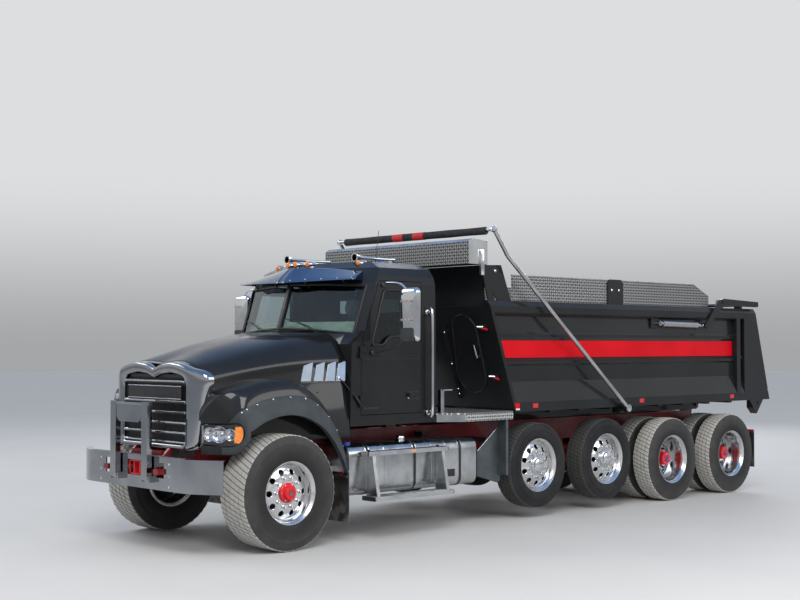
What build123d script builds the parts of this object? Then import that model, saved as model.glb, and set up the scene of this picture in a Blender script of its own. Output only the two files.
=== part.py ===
from build123d import *
import math
import os

# A heavy dump truck with a long-nose cab, six axles and a steel dump body.
# Sizes are in millimetres. While it is built, X is 0 at the front axle and
# points forward, Y is 0 on the centre line and points left, Z is 0 on the
# ground. The finished pieces are moved so that X is 0 at mid-length.

# Foremost face
FRONT_TIP = 1050

# Axles
LIFT_AXLES = (-3634, -4886)
TANDEM_AXLES = (-6187, -7519)
LIFT_HEIGHT = 115

# Wheels: tyre radius, tyre width and rim bead radius
FRONT_R, FRONT_W = 560, 420
LIFT_R, LIFT_W = 488, 280
TANDEM_R, TANDEM_W = 525, 280
BEAD_R = 286
SHOULDER = 34
FLANGE_R = 303
FRONT_WHEEL_Y = 1010
LIFT_WHEEL_Y = 1050
TANDEM_OUTER_Y = 1085
TWIN_SPACING = 337
SPINDLE_R = 45
BORE_GAP = 0.05
KINGPIN_Y = 850
KINGPIN_R = 24
KINGPIN_GAP = 40
HAND_HOLES = 10
HAND_HOLE_R = 26
HAND_HOLE_CIRCLE = 205

# Chassis
RAIL_TOP = 1070
RAIL_DEPTH = 260
RAIL_OUT = 430
RAIL_FLANGE = 80
RAIL_T = 12
RAIL_FRONT = 560
SPRING_Y = (345, 425)
RAIL_REAR = -7740

# Tow lugs, each with an upright eye
TOW_X, TOW_Y, TOW_Z = 1000, 445, 775
TOW_EYE_R = 14

# Bumper and grille guard
BUMPER_X = 980
BUMPER_LOW, BUMPER_TOP = 600, 915
BUMPER_FLAT = 800
BUMPER_HALF = 1205
BUMPER_WRAP = 190
BUMPER_STEPS = 8
SHEET = 12
GUARD_Y = 280
GUARD_W = 100
GUARD_TOP = 1430
GUARD_PIVOT = (1012, 700)
GUARD_PIN_R = 10
LAMP_CENTRE_Z = 1138

# Hood
HOOD_PIVOT = (860, 860)
HOOD_PIN_R = 15
HOOD_SKIN = 14
HOOD_REAR = -870
ARCH_R = FRONT_R + 175
FENDER_Y = 1120
FLARE_Y = 1190

# Cab
CAB_Y = 1050
CAB_FRONT = -884
CAB_BACK = -2100
CAB_FLOOR = 1150
CAB_WALL = 45
GLASS_DEEP, GLASS_T = 14, 8
ROOF_EDGE = 2700
ROOF_TOP = 2850
DOOR_FRONT, DOOR_BACK = -1034, -1885
DOOR_LOW, DOOR_TOP = 1262, 2640
DOOR_GAP = 6
HINGE_PIN_R = 8
DOOR_HINGE_Z = (1400, 1900)

# Deck behind the cab
DECK_X = (-3150, -2122)
DECK_LOW, DECK_TOP = 1145, 1240

# Dump body
SIDE_Y = 1220
PANEL_Y = 1150
INNER_Y = 1105
SIDE_LOW, SIDE_TOP = 1224, 2469
BODY_FLOOR = 1290
FLOOR_T = 40
FRONT_EDGE_TOP, FRONT_EDGE_LOW = -2757, -3193
FRONT_WALL_T = 45
FRONT_WALL_TOP = SIDE_TOP - 60
REAR_EDGE_TOP, REAR_EDGE_LOW = -8110, -8420
REAR_EDGE_Z = (2470, 1370)
REAR_POST_X = -7700
BED_HINGE = (-7850, 1150)
BED_PIN_R = 30

# Tarp gear
TARP_PIVOT = (-5140, 1210)
TARP_ARM_Y = 1300
TARP_TUBE_R = 25
TARP_PIN_R = 20
TARP_ROLL_R = 45
HOUSING_FRONT, HOUSING_BACK = -2450, -2740
HOUSING_LOW = SIDE_TOP + 391
HOUSING_TOP = HOUSING_LOW + 280
TARP_ELBOW = (-2756, HOUSING_TOP + 107)

# High-lift tailgate gear
LEVER_PIVOT = (-7290, 2544)
LEVER_FOOT = (-6900, 2232)
LEVER_REAR = (-8110, 2530)
GATE_EYE = (-5930, 2248)
LEVER_Y = (1230, 1250)
LEVER_PIN_R = 20
GATE_BAR_R = 25
GATE_CYL_Y = 1197
GATE_PIN_R = 12
GATE_BARREL_R, GATE_ROD_R = 40, 18

# Hoist
HOIST_FOOT = (-3550, 885)
HOIST_HEAD = (-3620, 2190)
HOIST_RADII = (100, 82, 66, 50)
HOIST_PIN_R = 28


# Building helpers
def box(x, y, z):
    """A block between three pairs of limits."""
    return Pos((x[0] + x[1]) / 2, (y[0] + y[1]) / 2, (z[0] + z[1]) / 2) * Box(
        abs(x[1] - x[0]), abs(y[1] - y[0]), abs(z[1] - z[0])
    )


def polygon(points):
    """A flat face through three-dimensional points."""
    return Face(Wire.make_polygon([Vector(*p) for p in points], close=True))


def side(points, y):
    """A side outline of (x, z) points carried across from y[0] to y[1]."""
    face = polygon([(x, y[0], z) for x, z in points])
    return Solid.extrude(face, Vector(0, y[1] - y[0], 0))


def plan(points, z):
    """A plan outline of (x, y) points carried up from z[0] to z[1]."""
    face = polygon([(x, y, z[0]) for x, y in points])
    return Solid.extrude(face, Vector(0, 0, z[1] - z[0]))


def front(points, x):
    """A front outline of (y, z) points carried along from x[0] to x[1]."""
    face = polygon([(x[0], y, z) for y, z in points])
    return Solid.extrude(face, Vector(x[1] - x[0], 0, 0))


def rod(a, b, r):
    """A round bar between two points."""
    a, b = Vector(*a), Vector(*b)
    place = Plane(origin=a, z_dir=b - a)
    return place * Cylinder(r, (b - a).length, align=(Align.CENTER, Align.CENTER, Align.MIN))


def across(x, z, y, r):
    """A round bar along Y at (x, z)."""
    return rod((x, y[0], z), (x, y[1], z), r)


def moved(line, thick):
    """A line of points moved to its right."""
    points = []
    for i, (u, v) in enumerate(line):
        normals = []
        for a, b in ((i - 1, i), (i, i + 1)):
            if a < 0 or b >= len(line):
                continue
            du, dv = line[b][0] - line[a][0], line[b][1] - line[a][1]
            length = math.hypot(du, dv)
            normals.append((dv / length, -du / length))
        nu = sum(n[0] for n in normals)
        nv = sum(n[1] for n in normals)
        scale = thick * len(normals) / (nu * nu + nv * nv)
        points.append((u + nu * scale, v + nv * scale))
    return points


def strip(line, thick):
    """The outline of a bent strip: the line, and the same line moved to its right."""
    return list(line) + moved(line, thick)[::-1]


def mirrored(shape):
    """The shape reflected to the other side of the truck."""
    return mirror(shape, about=Plane.XZ)


def both(shape):
    """The shape and its reflection."""
    return shape + mirrored(shape)


def turned(profile, x, z, y=0):
    """A profile of (radius, y) points turned about an axle at (x, z)."""
    face = polygon([(x, y + v, z + r) for r, v in profile])
    return Solid.revolve(face, 360, Axis((x, 0, z), (0, 1, 0)))


def between(a, b, t):
    """The value a share t of the way from a to b."""
    return a + (b - a) * t


def slope_x(z, top, low, z_top, z_low):
    """The x of a leaning edge at height z."""
    return between(low, top, (z - z_low) / (z_top - z_low))


def body_front_x(z):
    """The x of the dump body's front edge at height z."""
    return slope_x(z, FRONT_EDGE_TOP, FRONT_EDGE_LOW, SIDE_TOP, SIDE_LOW)


def body_rear_x(z):
    """The x of the dump body's rear edge at height z."""
    return slope_x(z, REAR_EDGE_TOP, REAR_EDGE_LOW, *REAR_EDGE_Z)


parts = {}


# Wheels
def tyre(x, z, y, radius, width):
    """A tyre centred at y: flat tread, sloping shoulders, bulged walls."""
    w = width / 2
    return turned(
        [
            (radius, -w + SHOULDER),
            (radius, w - SHOULDER),
            (radius - SHOULDER, w - 4),
            (BEAD_R + 62, w),
            (BEAD_R, w - SHOULDER),
            (BEAD_R, -w + SHOULDER),
            (BEAD_R + 62, -w),
            (radius - SHOULDER, -w + 4),
        ],
        x,
        z,
        y,
    )


def rim(x, z, y, width, face, hub, out):
    """A rim barrel at y with a disc bulging to face and a hub to hub, on side out."""
    w = width / 2 - SHOULDER
    rings = [
        (BEAD_R, -w),
        (BEAD_R, w),
        (FLANGE_R, w + 12),
        (FLANGE_R, w + 20),
        (BEAD_R - 22, w + 10),
        (BEAD_R - 30, -w),
    ]
    barrel = turned([(r, v * out) for r, v in rings], x, z, y)
    inner = SPINDLE_R + BORE_GAP
    edge = y + out * (width / 2 - 60)
    profile = [
        (inner, face - out * 90),
        (inner, hub - out * 12),
        (95, hub - out * 12),
        (110, face),
        (200, face),
        (BEAD_R - 26, edge + out * 8),
        (BEAD_R - 26, edge - out * 14),
        (196, face - out * 22),
        (120, face - out * 22),
        (110, face - out * 90),
    ]
    disc = turned(profile, x, z)
    cap = across(x, z, (hub - out * 12, hub), 78)
    holes = None
    for i in range(HAND_HOLES):
        a = 2 * math.pi * i / HAND_HOLES
        cx, cz = x + HAND_HOLE_CIRCLE * math.cos(a), z + HAND_HOLE_CIRCLE * math.sin(a)
        hole = across(cx, cz, (face - out * 60, face + out * 40), HAND_HOLE_R)
        holes = hole if holes is None else holes + hole
    return barrel + (disc - holes) + cap


AXLES = [
    # name, x, height, tyre radius, tyre width, y of each tyre, y of the disc's face and of the hub
    ("front", 0, FRONT_R, FRONT_R, FRONT_W, [FRONT_WHEEL_Y], FRONT_WHEEL_Y + 140, FRONT_WHEEL_Y + 205),
]
for n, x in enumerate(LIFT_AXLES, 1):
    z = LIFT_R + LIFT_HEIGHT
    y = LIFT_WHEEL_Y
    AXLES.append((f"lift_{n}", x, z, LIFT_R, LIFT_W, [y], y + 100, y + 155))
for n, x in enumerate(TANDEM_AXLES, 1):
    y = TANDEM_OUTER_Y
    AXLES.append((f"tandem_{n}", x, TANDEM_R, TANDEM_R, TANDEM_W, [y, y - TWIN_SPACING], y - 100, y + 45))
WHEELS = []
for name, x, z, radius, width, ys, face, hub in AXLES:
    for s_name, s in (("left", 1), ("right", -1)):
        WHEELS.append((f"{name}_{s_name}", x, z, radius, width, [y * s for y in ys], face * s, hub * s, s))

for name, x, z, radius, width, ys, face, hub, s in WHEELS:
    tyres = None
    for y in ys:
        one = tyre(x, z, y, radius, width)
        tyres = one if tyres is None else tyres + one
    wheel = rim(x, z, ys[0], width, face, hub, s)
    if len(ys) == 2:
        w = width / 2 - SHOULDER
        rings = [
            (BEAD_R, -w),
            (BEAD_R, w),
            (BEAD_R - 30, w),
            (BEAD_R - 22, -w - 14),
            (FLANGE_R, -w - 20),
            (FLANGE_R, -w - 12),
        ]
        wheel = wheel + turned([(r, v * s) for r, v in rings], x, z, ys[1])
        spacer_y = (ys[0] - s * w, ys[1] + s * w)
        spacer = across(x, z, spacer_y, BEAD_R) - across(x, z, spacer_y, BEAD_R - 28)
        wheel = wheel + spacer
    parts[f"tyre_{name}"] = tyres
    parts[f"rim_{name}"] = wheel

# Chassis frame
RAIL_LOW = RAIL_TOP - RAIL_DEPTH
rail_section = [
    (RAIL_OUT - RAIL_FLANGE, RAIL_LOW),
    (RAIL_OUT, RAIL_LOW),
    (RAIL_OUT, RAIL_TOP),
    (RAIL_OUT - RAIL_FLANGE, RAIL_TOP),
    (RAIL_OUT - RAIL_FLANGE, RAIL_TOP - RAIL_T),
    (RAIL_OUT - RAIL_T, RAIL_TOP - RAIL_T),
    (RAIL_OUT - RAIL_T, RAIL_LOW + RAIL_T),
    (RAIL_OUT - RAIL_FLANGE, RAIL_LOW + RAIL_T),
]
frame = both(front(rail_section, (RAIL_REAR, RAIL_FRONT)))
INSIDE = RAIL_OUT - RAIL_T
for x in (-900, -2450, -4260, -5560, -6853, RAIL_REAR + 60):
    frame += box((x - 30, x + 30), (-INSIDE, INSIDE), (RAIL_LOW + 40, RAIL_TOP - RAIL_T))
frame += both(box((RAIL_FRONT - 60, 900), (345, RAIL_OUT - RAIL_T), (790, 890)))
frame += box((700, 760), (-345, 345), (740, 880))
frame += box((780, 850), (-260, 260), (880, 950))
frame += both(box((740, 850), (200, 260), (820, 900)))
frame += across(HOOD_PIVOT[0], HOOD_PIVOT[1], (-345, 345), HOOD_PIN_R)
tow_lug = box((830, TOW_X + 30), (TOW_Y - 40, TOW_Y + 40), (TOW_Z - 25, TOW_Z + 25))
frame += both(tow_lug - rod((TOW_X, TOW_Y, TOW_Z - 40), (TOW_X, TOW_Y, TOW_Z + 40), TOW_EYE_R))
hinge_plate = [
    (RAIL_REAR + 60, RAIL_LOW + 40),
    (RAIL_REAR + 60, RAIL_TOP),
    (BED_HINGE[0] + 40, BED_HINGE[1] + 55),
    (BED_HINGE[0] - 55, BED_HINGE[1] + 55),
    (BED_HINGE[0] - 55, BED_HINGE[1] - 55),
    (RAIL_REAR - 40, RAIL_LOW + 40),
]
frame += both(side(hinge_plate, (270, 330)))
frame += across(BED_HINGE[0], BED_HINGE[1], (-450, 450), BED_PIN_R)
frame += box((RAIL_REAR + 20, RAIL_REAR + 32), (-590, 590), (RAIL_LOW - 60, RAIL_LOW + 160))
foot_x, foot_z = HOIST_FOOT
frame += both(box((foot_x - 110, foot_x + 110), (150, INSIDE), (foot_z - 60, foot_z + 60)))
frame += across(foot_x, foot_z, (-160, 160), HOIST_PIN_R)
FLAP_X = TANDEM_AXLES[1] - TANDEM_R - 16
FLAP_TOP = 815
frame += both(box((FLAP_X, RAIL_REAR + 32), (550, 590), (780, 820)))
frame += both(box((FLAP_X, FLAP_X + 20), (550, 1215), (780, 820)))
parts["frame"] = frame

# Engine, and the radiator before it
engine = box((-700, 420), (-325, 325), (760, 1600))
engine += box((560, 640), (-400, 400), (1090, 1640))
engine += box((420, 560), (-120, 120), (1100, 1300))
parts["engine"] = engine

# Bumper with its openings, the guard's brackets and pins
half_line = []
for k in range(BUMPER_STEPS + 1):
    t = k / BUMPER_STEPS
    half_line.append((BUMPER_X - BUMPER_WRAP * t**1.8, between(BUMPER_FLAT, BUMPER_HALF, t)))
bumper_line = half_line[::-1] + [(x, -y) for x, y in half_line]
bumper = plan(strip(bumper_line, SHEET), (BUMPER_LOW, BUMPER_TOP))
bumper += plan(strip(bumper_line, 62), (BUMPER_TOP - 8, BUMPER_TOP))
bumper -= box((900, 1000), (-120, 120), (717, 865))
bumper -= both(box((900, 1000), (372, 518), (716, 860)))
bumper += both(box((900, BUMPER_X - SHEET), (345, INSIDE), (820, 880)))
lug_x, lug_z = GUARD_PIVOT
lug = box((BUMPER_X - 2, lug_x + 22), (GUARD_Y - 72, GUARD_Y - 56), (lug_z - 32, lug_z + 32))
lug += box((BUMPER_X - 2, lug_x + 22), (GUARD_Y + 56, GUARD_Y + 72), (lug_z - 32, lug_z + 32))
lug += across(lug_x, lug_z, (GUARD_Y - 60, GUARD_Y + 60), GUARD_PIN_R)
bumper += both(lug)
parts["bumper"] = bumper

# Grille guard, folding forward about its low pins
post_y = (GUARD_Y - GUARD_W / 2, GUARD_Y + GUARD_W / 2)
guard_x = (lug_x - 18, FRONT_TIP)
post = box(guard_x, post_y, (lug_z + 24, GUARD_TOP))
post -= box((guard_x[0] - 1, FRONT_TIP - 10), (post_y[0] + 10, post_y[1] - 10), (lug_z + 60, GUARD_TOP - 20))
post += across(lug_x, lug_z, post_y, 26)
post += box((lug_x - 12, lug_x + 26), post_y, (lug_z, lug_z + 40))
post -= across(lug_x, lug_z, (post_y[0] - 1, post_y[1] + 1), GUARD_PIN_R + BORE_GAP)
guard = both(post)
plate = [
    (-GUARD_Y + 44, GUARD_TOP - 10),
    (GUARD_Y - 44, GUARD_TOP - 10),
    (GUARD_Y - 44, 1290),
    (GUARD_Y - 110, 1232),
    (-GUARD_Y + 110, 1232),
    (-GUARD_Y + 44, 1290),
]
guard += front(plate, (FRONT_TIP - 12, FRONT_TIP - 4))
guard += across(1032, GUARD_TOP - 22, (-GUARD_Y - 40, GUARD_Y + 40), 15)
parts["grille_guard"] = guard

# Front axle, springs and steering knuckles
beam_low = [(KINGPIN_Y + 10, -KINGPIN_GAP), (700, -60), (560, -120)]
beam_top = [(KINGPIN_Y + 10, KINGPIN_GAP), (700, 30), (540, -30)]
beam = [(y, FRONT_R + z) for y, z in beam_low + [(-y, z) for y, z in beam_low[::-1]]]
beam += [(y, FRONT_R + z) for y, z in [(-y, z) for y, z in beam_top] + beam_top[::-1]]
front_axle = front(beam, (-55, 55))
front_axle -= both(rod((0, KINGPIN_Y, FRONT_R - 160), (0, KINGPIN_Y, FRONT_R + 140), KINGPIN_R + BORE_GAP))
PAD_TOP = FRONT_R + 80
front_axle += both(box((-60, 60), SPRING_Y, (FRONT_R - 30, PAD_TOP)))
spring = [(-760, 760), (-500, 700), (0, PAD_TOP), (500, 690), (RAIL_FRONT + 190, 750)]
front_axle += both(side(strip(spring, -34), SPRING_Y))
front_axle += both(box((-790, -730), SPRING_Y, (720, RAIL_LOW)))
parts["front_axle"] = front_axle

for name, s in (("left", 1), ("right", -1)):
    arm_y = (s * (KINGPIN_Y - 45), s * (KINGPIN_Y + 60))
    knuckle = box((-70, 70), arm_y, (FRONT_R - 100, FRONT_R - KINGPIN_GAP - 12))
    knuckle += box((-70, 70), arm_y, (FRONT_R + KINGPIN_GAP + 12, FRONT_R + 100))
    knuckle += box((-70, 70), (s * (KINGPIN_Y + 57), s * (KINGPIN_Y + 90)), (FRONT_R - 100, FRONT_R + 100))
    knuckle += rod((0, s * KINGPIN_Y, FRONT_R - 80), (0, s * KINGPIN_Y, FRONT_R + 80), KINGPIN_R)
    knuckle += across(0, FRONT_R, (s * (KINGPIN_Y + 80), s * 1190), SPINDLE_R)
    parts[f"knuckle_{name}"] = knuckle

# Lift axles held up, with their hangers
lift_axles = None
lift_z = LIFT_R + LIFT_HEIGHT
for x in LIFT_AXLES:
    one = across(x, lift_z, (-900, 900), 62)
    one += across(x, lift_z, (-1180, 1180), SPINDLE_R)
    hanger = [
        (x + 60, lift_z + 40),
        (x - 60, lift_z + 40),
        (x - 60, RAIL_LOW),
        (x + 420, RAIL_LOW),
        (x + 420, RAIL_LOW - 60),
    ]
    one += both(side(hanger, (INSIDE - 70, INSIDE + RAIL_T)))
    lift_axles = one if lift_axles is None else lift_axles + one
parts["lift_axles"] = lift_axles

# Driven tandem axles, their walking beams and the drive shafts
tandem = None
mid_x = sum(TANDEM_AXLES) / 2
for x in TANDEM_AXLES:
    one = across(x, TANDEM_R, (-560, 560), 85)
    one += across(x, TANDEM_R, (-1105, 1105), SPINDLE_R)
    one += across(x, TANDEM_R, (-150, 150), 200)
    tandem = one if tandem is None else tandem + one
beam_line = [
    (TANDEM_AXLES[1] - 90, TANDEM_R - 70),
    (mid_x, TANDEM_R - 110),
    (TANDEM_AXLES[0] + 90, TANDEM_R - 70),
    (TANDEM_AXLES[0] + 90, TANDEM_R + 60),
    (mid_x + 120, TANDEM_R + 90),
    (mid_x + 120, RAIL_LOW),
    (mid_x - 120, RAIL_LOW),
    (mid_x - 120, TANDEM_R + 90),
    (TANDEM_AXLES[1] - 90, TANDEM_R + 60),
]
tandem += both(side(beam_line, (INSIDE - 60, INSIDE + RAIL_T)))
tandem += rod((TANDEM_AXLES[1] + 150, 0, TANDEM_R + 60), (TANDEM_AXLES[0] - 150, 0, TANDEM_R + 60), 45)
tandem += rod((TANDEM_AXLES[0] + 150, 0, TANDEM_R + 60), (LIFT_AXLES[1] - 200, 0, 730), 45)
tandem += rod((LIFT_AXLES[1] - 200, 0, 730), (-710, 0, 750), 45)
parts["tandem_axles"] = tandem

# Fuel tank on the left, exhaust treatment box on the right
TANK_X = (-2690, -820)
TANK_Y = (500, 1095)
TANK_Z = (450, 965)


def tank_block(x, corner):
    outline = []
    (y0, y1), (z0, z1) = TANK_Y, TANK_Z
    for cy, cz, a0 in (
        (y1 - corner, z1 - corner, 0),
        (y0 + corner, z1 - corner, 90),
        (y0 + corner, z0 + corner, 180),
        (y1 - corner, z0 + corner, 270),
    ):
        for k in range(4):
            a = math.radians(a0 + 30 * k)
            outline.append((cy + corner * math.cos(a), cz + corner * math.sin(a)))
    return front(outline, x)


tank = tank_block(TANK_X, 95)
tank += rod((-1712, 930, TANK_Z[1] - 20), (-1712, 930, TANK_Z[1] + 60), 45)
for x in (-1100, -2400):
    tank += box((x - 30, x + 30), (RAIL_OUT, TANK_Y[0] + 60), (TANK_Z[0] - 12, RAIL_LOW + 200))
parts["fuel_tank"] = tank
exhaust = mirrored(tank_block((-2200, TANK_X[1]), 60))
for x in (-1100, -1950):
    exhaust += mirrored(box((x - 30, x + 30), (RAIL_OUT, TANK_Y[0] + 60), (TANK_Z[0] - 12, RAIL_LOW + 200)))
parts["exhaust_box"] = exhaust

# Steps below both doors
STEP_X = (-2130, -980)
steps = None
for z, y_out, x_front in ((900, 1222, -980), (450, 1300, -1000)):
    tread = box((STEP_X[0], x_front), (TANK_Y[1] + 1, y_out), (z - 45, z))
    steps = tread if steps is None else steps + tread
for x in (-1060, -2050):
    brace = [(0, 910), (110, 880), (190, 430), (30, 405), (0, 440)]
    steps += front([(TANK_Y[1] + y, z) for y, z in brace], (x - 20, x + 20))
steps = both(steps)

# Deck plate behind the cab
deck_back, deck_front = DECK_X
deck_half = [(deck_back, SIDE_Y), (deck_front - 268, SIDE_Y), (deck_front, 1040)]
deck_outline = deck_half + [(x, -y) for x, y in deck_half[::-1]]
deck = plan(deck_outline, (DECK_TOP - 15, DECK_TOP))
deck += both(plan(strip(deck_half, 12), (DECK_LOW, DECK_TOP - 15)))
for x in (deck_front - 58, deck_back + 70):
    deck += both(box((x - 20, x + 20), (350, INSIDE), (RAIL_TOP, DECK_TOP - 15)))
deck += box((-2230, -2180), (1000, 1050), (DECK_TOP, 1500))
deck += box((-2350, -2180), (1050, 1062), (1465, 1500))
parts["steps_and_deck"] = deck + steps

# Splash guards ahead of the lift wheels, front and rear mud flaps
QUARTER_X = LIFT_AXLES[0] + LIFT_R + 61
quarter = [(-2710, 810), (QUARTER_X, 1085), (QUARTER_X, 460), (QUARTER_X + 45, 440), (-2710, 530)]
guards = side(quarter, (1060, 1075))
guards += box((QUARTER_X, QUARTER_X + 35), (1075, 1200), (530, DECK_LOW))
guards += box((QUARTER_X, QUARTER_X + 35), (RAIL_OUT, 1075), (880, 930))
FRONT_FLAP_X = -ARCH_R - 7
guards += box((FRONT_FLAP_X, FRONT_FLAP_X + 12), (790, 1200), (213, 680))
guards += box((FRONT_FLAP_X, FRONT_FLAP_X + 42), (RAIL_OUT, 800), (640, 680))
guards += box((FRONT_FLAP_X, FRONT_FLAP_X + 42), (790, 1200), (655, 680))
guards += box((FRONT_FLAP_X - 48, FRONT_FLAP_X), (RAIL_OUT, RAIL_OUT + 40), (640, RAIL_LOW + 10))
guards += box((FLAP_X - 12, FLAP_X), (700, 1215), (310, FLAP_TOP))
parts["splash_guards"] = both(guards)


# Hood: an engine cover between lofted sections, with fenders over the wheels
HOOD_SECTIONS = [
    # x, then half-section points (y, z): crown and upper crease, then down the side
    (700, [(0, 1790), (330, 1808), (560, 1762), (620, 1690),
           (650, 1550), (680, 1400), (700, 1200), (715, 1040)]),
    (300, [(0, 1935), (330, 1930), (620, 1850), (690, 1790),
           (720, 1620), (740, 1450), (760, 1220), (775, 1040)]),
    (-100, [(0, 2035), (330, 2025), (680, 1945), (770, 1890),
            (800, 1700), (820, 1500), (840, 1250), (855, 1040)]),
    (-500, [(0, 2100), (330, 2092), (720, 2030), (815, 1985),
            (860, 1800), (900, 1550), (940, 1300), (975, 1040)]),
    (HOOD_REAR, [(0, 2118), (330, 2112), (740, 2080), (850, 2045),
                 (930, 1930), (985, 1600), (1035, 1300), (1070, 1040)]),
]


def hood_loft(inset, drop):
    """The hood's space, with its sections drawn in and down by inset."""
    solids = None
    wires = []
    for n, (x, half) in enumerate(HOOD_SECTIONS):
        moved = []
        for y, z in half:
            z_new = z - inset if z > 1100 else z - drop
            moved.append((max(y - inset, 0), z_new))
        moved[0] = (0, half[0][1] - inset)
        if inset and n == 0:
            x += 5
        if inset and n == len(HOOD_SECTIONS) - 1:
            x -= 5
        ring = [(x, y, z) for y, z in moved] + [(x, -y, z) for y, z in moved[:0:-1]]
        wires.append(Wire.make_polygon([Vector(*p) for p in ring], close=True))
    for a, b in zip(wires, wires[1:]):
        piece = Solid.make_loft([a, b], ruled=True)
        solids = piece if solids is None else solids + piece
    return solids


FENDER = [
    # x, z from the front corner over the wheel to the rear
    (715, 1045),
    (722, 1230),
    (712, 1420),
    (660, 1530),
    (492, 1592),
    (256, 1635),
    (60, 1638),
    (-67, 1619),
    (-220, 1560),
    (-325, 1480),
    (-480, 1330),
    (-600, 1150),
    (-640, 1045),
]
CORNER = [(722, 700), (722, 760), (705, 850), (670, 940), (618, 1020), (545, 1085), (440, FENDER_Y)]


def fender_block(inset, drop):
    """One fender's space, drawn in by inset and carried down by drop."""
    line = moved(FENDER, -inset) if inset else FENDER
    line = [(line[0][0], line[0][1] - drop)] + line[1:-1] + [(line[-1][0], line[-1][1] - drop)]
    block = side(line, (600 - inset, FENDER_Y - inset))
    corner_line = moved(CORNER, -inset) if inset else CORNER
    (x0, y0), (x1, y1) = corner_line[0], corner_line[-1]
    block -= plan(corner_line + [(x1, 1300), (900, 1300), (900, y0)], (900, 1700))
    ridge = [(y, z - inset * 1.5) for y, z in ((1040, 1700), (1140, 1700), (1140, 1500))]
    return block - front(ridge, (900, -1000))


hood = hood_loft(0, 0) + both(fender_block(0, 0))
hood -= hood_loft(HOOD_SKIN, 30) + both(fender_block(HOOD_SKIN, 30))
hood -= across(0, FRONT_R, (-1300, 1300), ARCH_R)
hood -= box((-1000, -600), (-1200, 1200), (1000, 1060))

# Headlamps and the black trim under them
LAMP_A, LAMP_B = (735, 770), (510, 1118)
LAMP_DEEP, LAMP_THIN = 110, 40
lamp_dir = (LAMP_B[0] - LAMP_A[0], LAMP_B[1] - LAMP_A[1])
lamp_len = math.hypot(*lamp_dir)
lamp_out = (lamp_dir[1] / lamp_len, -lamp_dir[0] / lamp_len)
lamp_plan = [
    LAMP_A,
    LAMP_B,
    (LAMP_B[0] - LAMP_THIN, LAMP_B[1]),
    (LAMP_A[0] - LAMP_DEEP * lamp_out[0], LAMP_A[1] - LAMP_DEEP * lamp_out[1]),
]
LAMP_LOW, LAMP_TOP = 940, 1235
lamps = plan(lamp_plan, (LAMP_LOW, LAMP_TOP))
for t, r in ((0.18, 62), (0.45, 74), (0.74, 74)):
    c = (LAMP_A[0] + lamp_dir[0] * t, LAMP_A[1] + lamp_dir[1] * t)
    a = (c[0] - 5 * lamp_out[0], c[1] - 5 * lamp_out[1], LAMP_CENTRE_Z)
    b = (c[0] + 14 * lamp_out[0], c[1] + 14 * lamp_out[1], LAMP_CENTRE_Z)
    lamps += rod(a, b, r)
lamp_room = plan([(760, 690), (760, 760), (500, 1180), (400, 1180), (400, 690)], (1000, LAMP_TOP + 5))
hood = hood - both(lamp_room)
parts["headlamps"] = both(lamps) - hood

# Grille: chrome surround, cheeks and bars, with the hood's hinge arms
opening = [
    (-550, 1600),
    (-500, 1675),
    (-300, 1706),
    (-120, 1690),
    (0, 1653),
    (120, 1690),
    (300, 1706),
    (500, 1675),
    (550, 1600),
    (550, 1020),
    (-550, 1020),
]
SURROUND = [
    # y, z of one half's outer edge, from the lower corner up to the dip in the middle
    (685, 970),
    (720, 1160),
    (755, 1450),
    (790, 1630),
    (785, 1690),
    (740, 1722),
    (620, 1748),
    (480, 1790),
    (300, 1812),
    (140, 1795),
]
surround = [(-y, z) for y, z in SURROUND] + [(0, 1751)] + SURROUND[::-1]
GRILLE_FACE, GRILLE_BACK = 784, 668
grille = front(surround, (GRILLE_BACK, GRILLE_FACE)) - front(opening, (GRILLE_BACK - 1, GRILLE_FACE + 1))
bend_y = 600
cheek = [(GRILLE_FACE, bend_y), (GRILLE_BACK + 20, 800), (GRILLE_BACK + 20, 900), (900, 900), (900, bend_y)]
grille -= both(plan(cheek, (900, 1900)))
hollow_back = [(GRILLE_BACK - 1, 0), (724, 0), (724, bend_y - 20), (GRILLE_BACK - 1, 720)]
grille -= both(plan(hollow_back, (900, 1900)))
grille = grille - hood - parts["headlamps"]
for z, h in ((1620, 34), (1515, 128), (1425, 34), (1322, 34), (1222, 34), (1127, 34), (1036, 30)):
    grille += box((738, 766), (-556, 556), (z - h / 2, z + h / 2))
arm_y = (275, 315)
hinge_x, hinge_z = HOOD_PIVOT
arm = side(
    [
        (724, 985),
        (GRILLE_FACE, 985),
        (hinge_x + 26, hinge_z + 14),
        (hinge_x, hinge_z - 28),
        (hinge_x - 30, hinge_z),
    ],
    arm_y,
)
arm -= across(hinge_x, hinge_z, (arm_y[0] - 1, arm_y[1] + 1), HOOD_PIN_R + BORE_GAP)
grille += both(arm)
parts["grille"] = grille

# Flares round the front wheel openings
outer_arc = [(620, LAMP_LOW + 2), (640, 1288), (546, 1343), (406, 1408), (237, 1455), (34, 1482)]
outer_arc += [(-174, 1475), (-326, 1436), (-480, 1329), (-599, 1193), (-683, 1047), (-752, 860), (-772, 700)]
opening_arc = [(-ARCH_R - 12, 700)]
for a in range(160, 33, -16):
    opening_arc.append((ARCH_R * math.cos(math.radians(a)), FRONT_R + ARCH_R * math.sin(math.radians(a))))
flare = side(outer_arc + opening_arc, (FENDER_Y, FLARE_Y))
lamp_slope = lamp_dir[0] / lamp_dir[1]


def lamp_plane_x(y):
    """The x of the lamps' front plane at y."""
    return LAMP_A[0] + (y - LAMP_A[1]) * lamp_slope


ahead = [(lamp_plane_x(1100) - 2, 1100), (lamp_plane_x(1300) - 2, 1300), (900, 1300), (900, 1100)]
flare -= plan(ahead, (900, LAMP_TOP + 5))
flare -= plan([(620, 1100), (500, 1200), (500, 1300), (900, 1300), (900, 1100)], (900, 1500))
parts["flares"] = both(flare)

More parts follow.
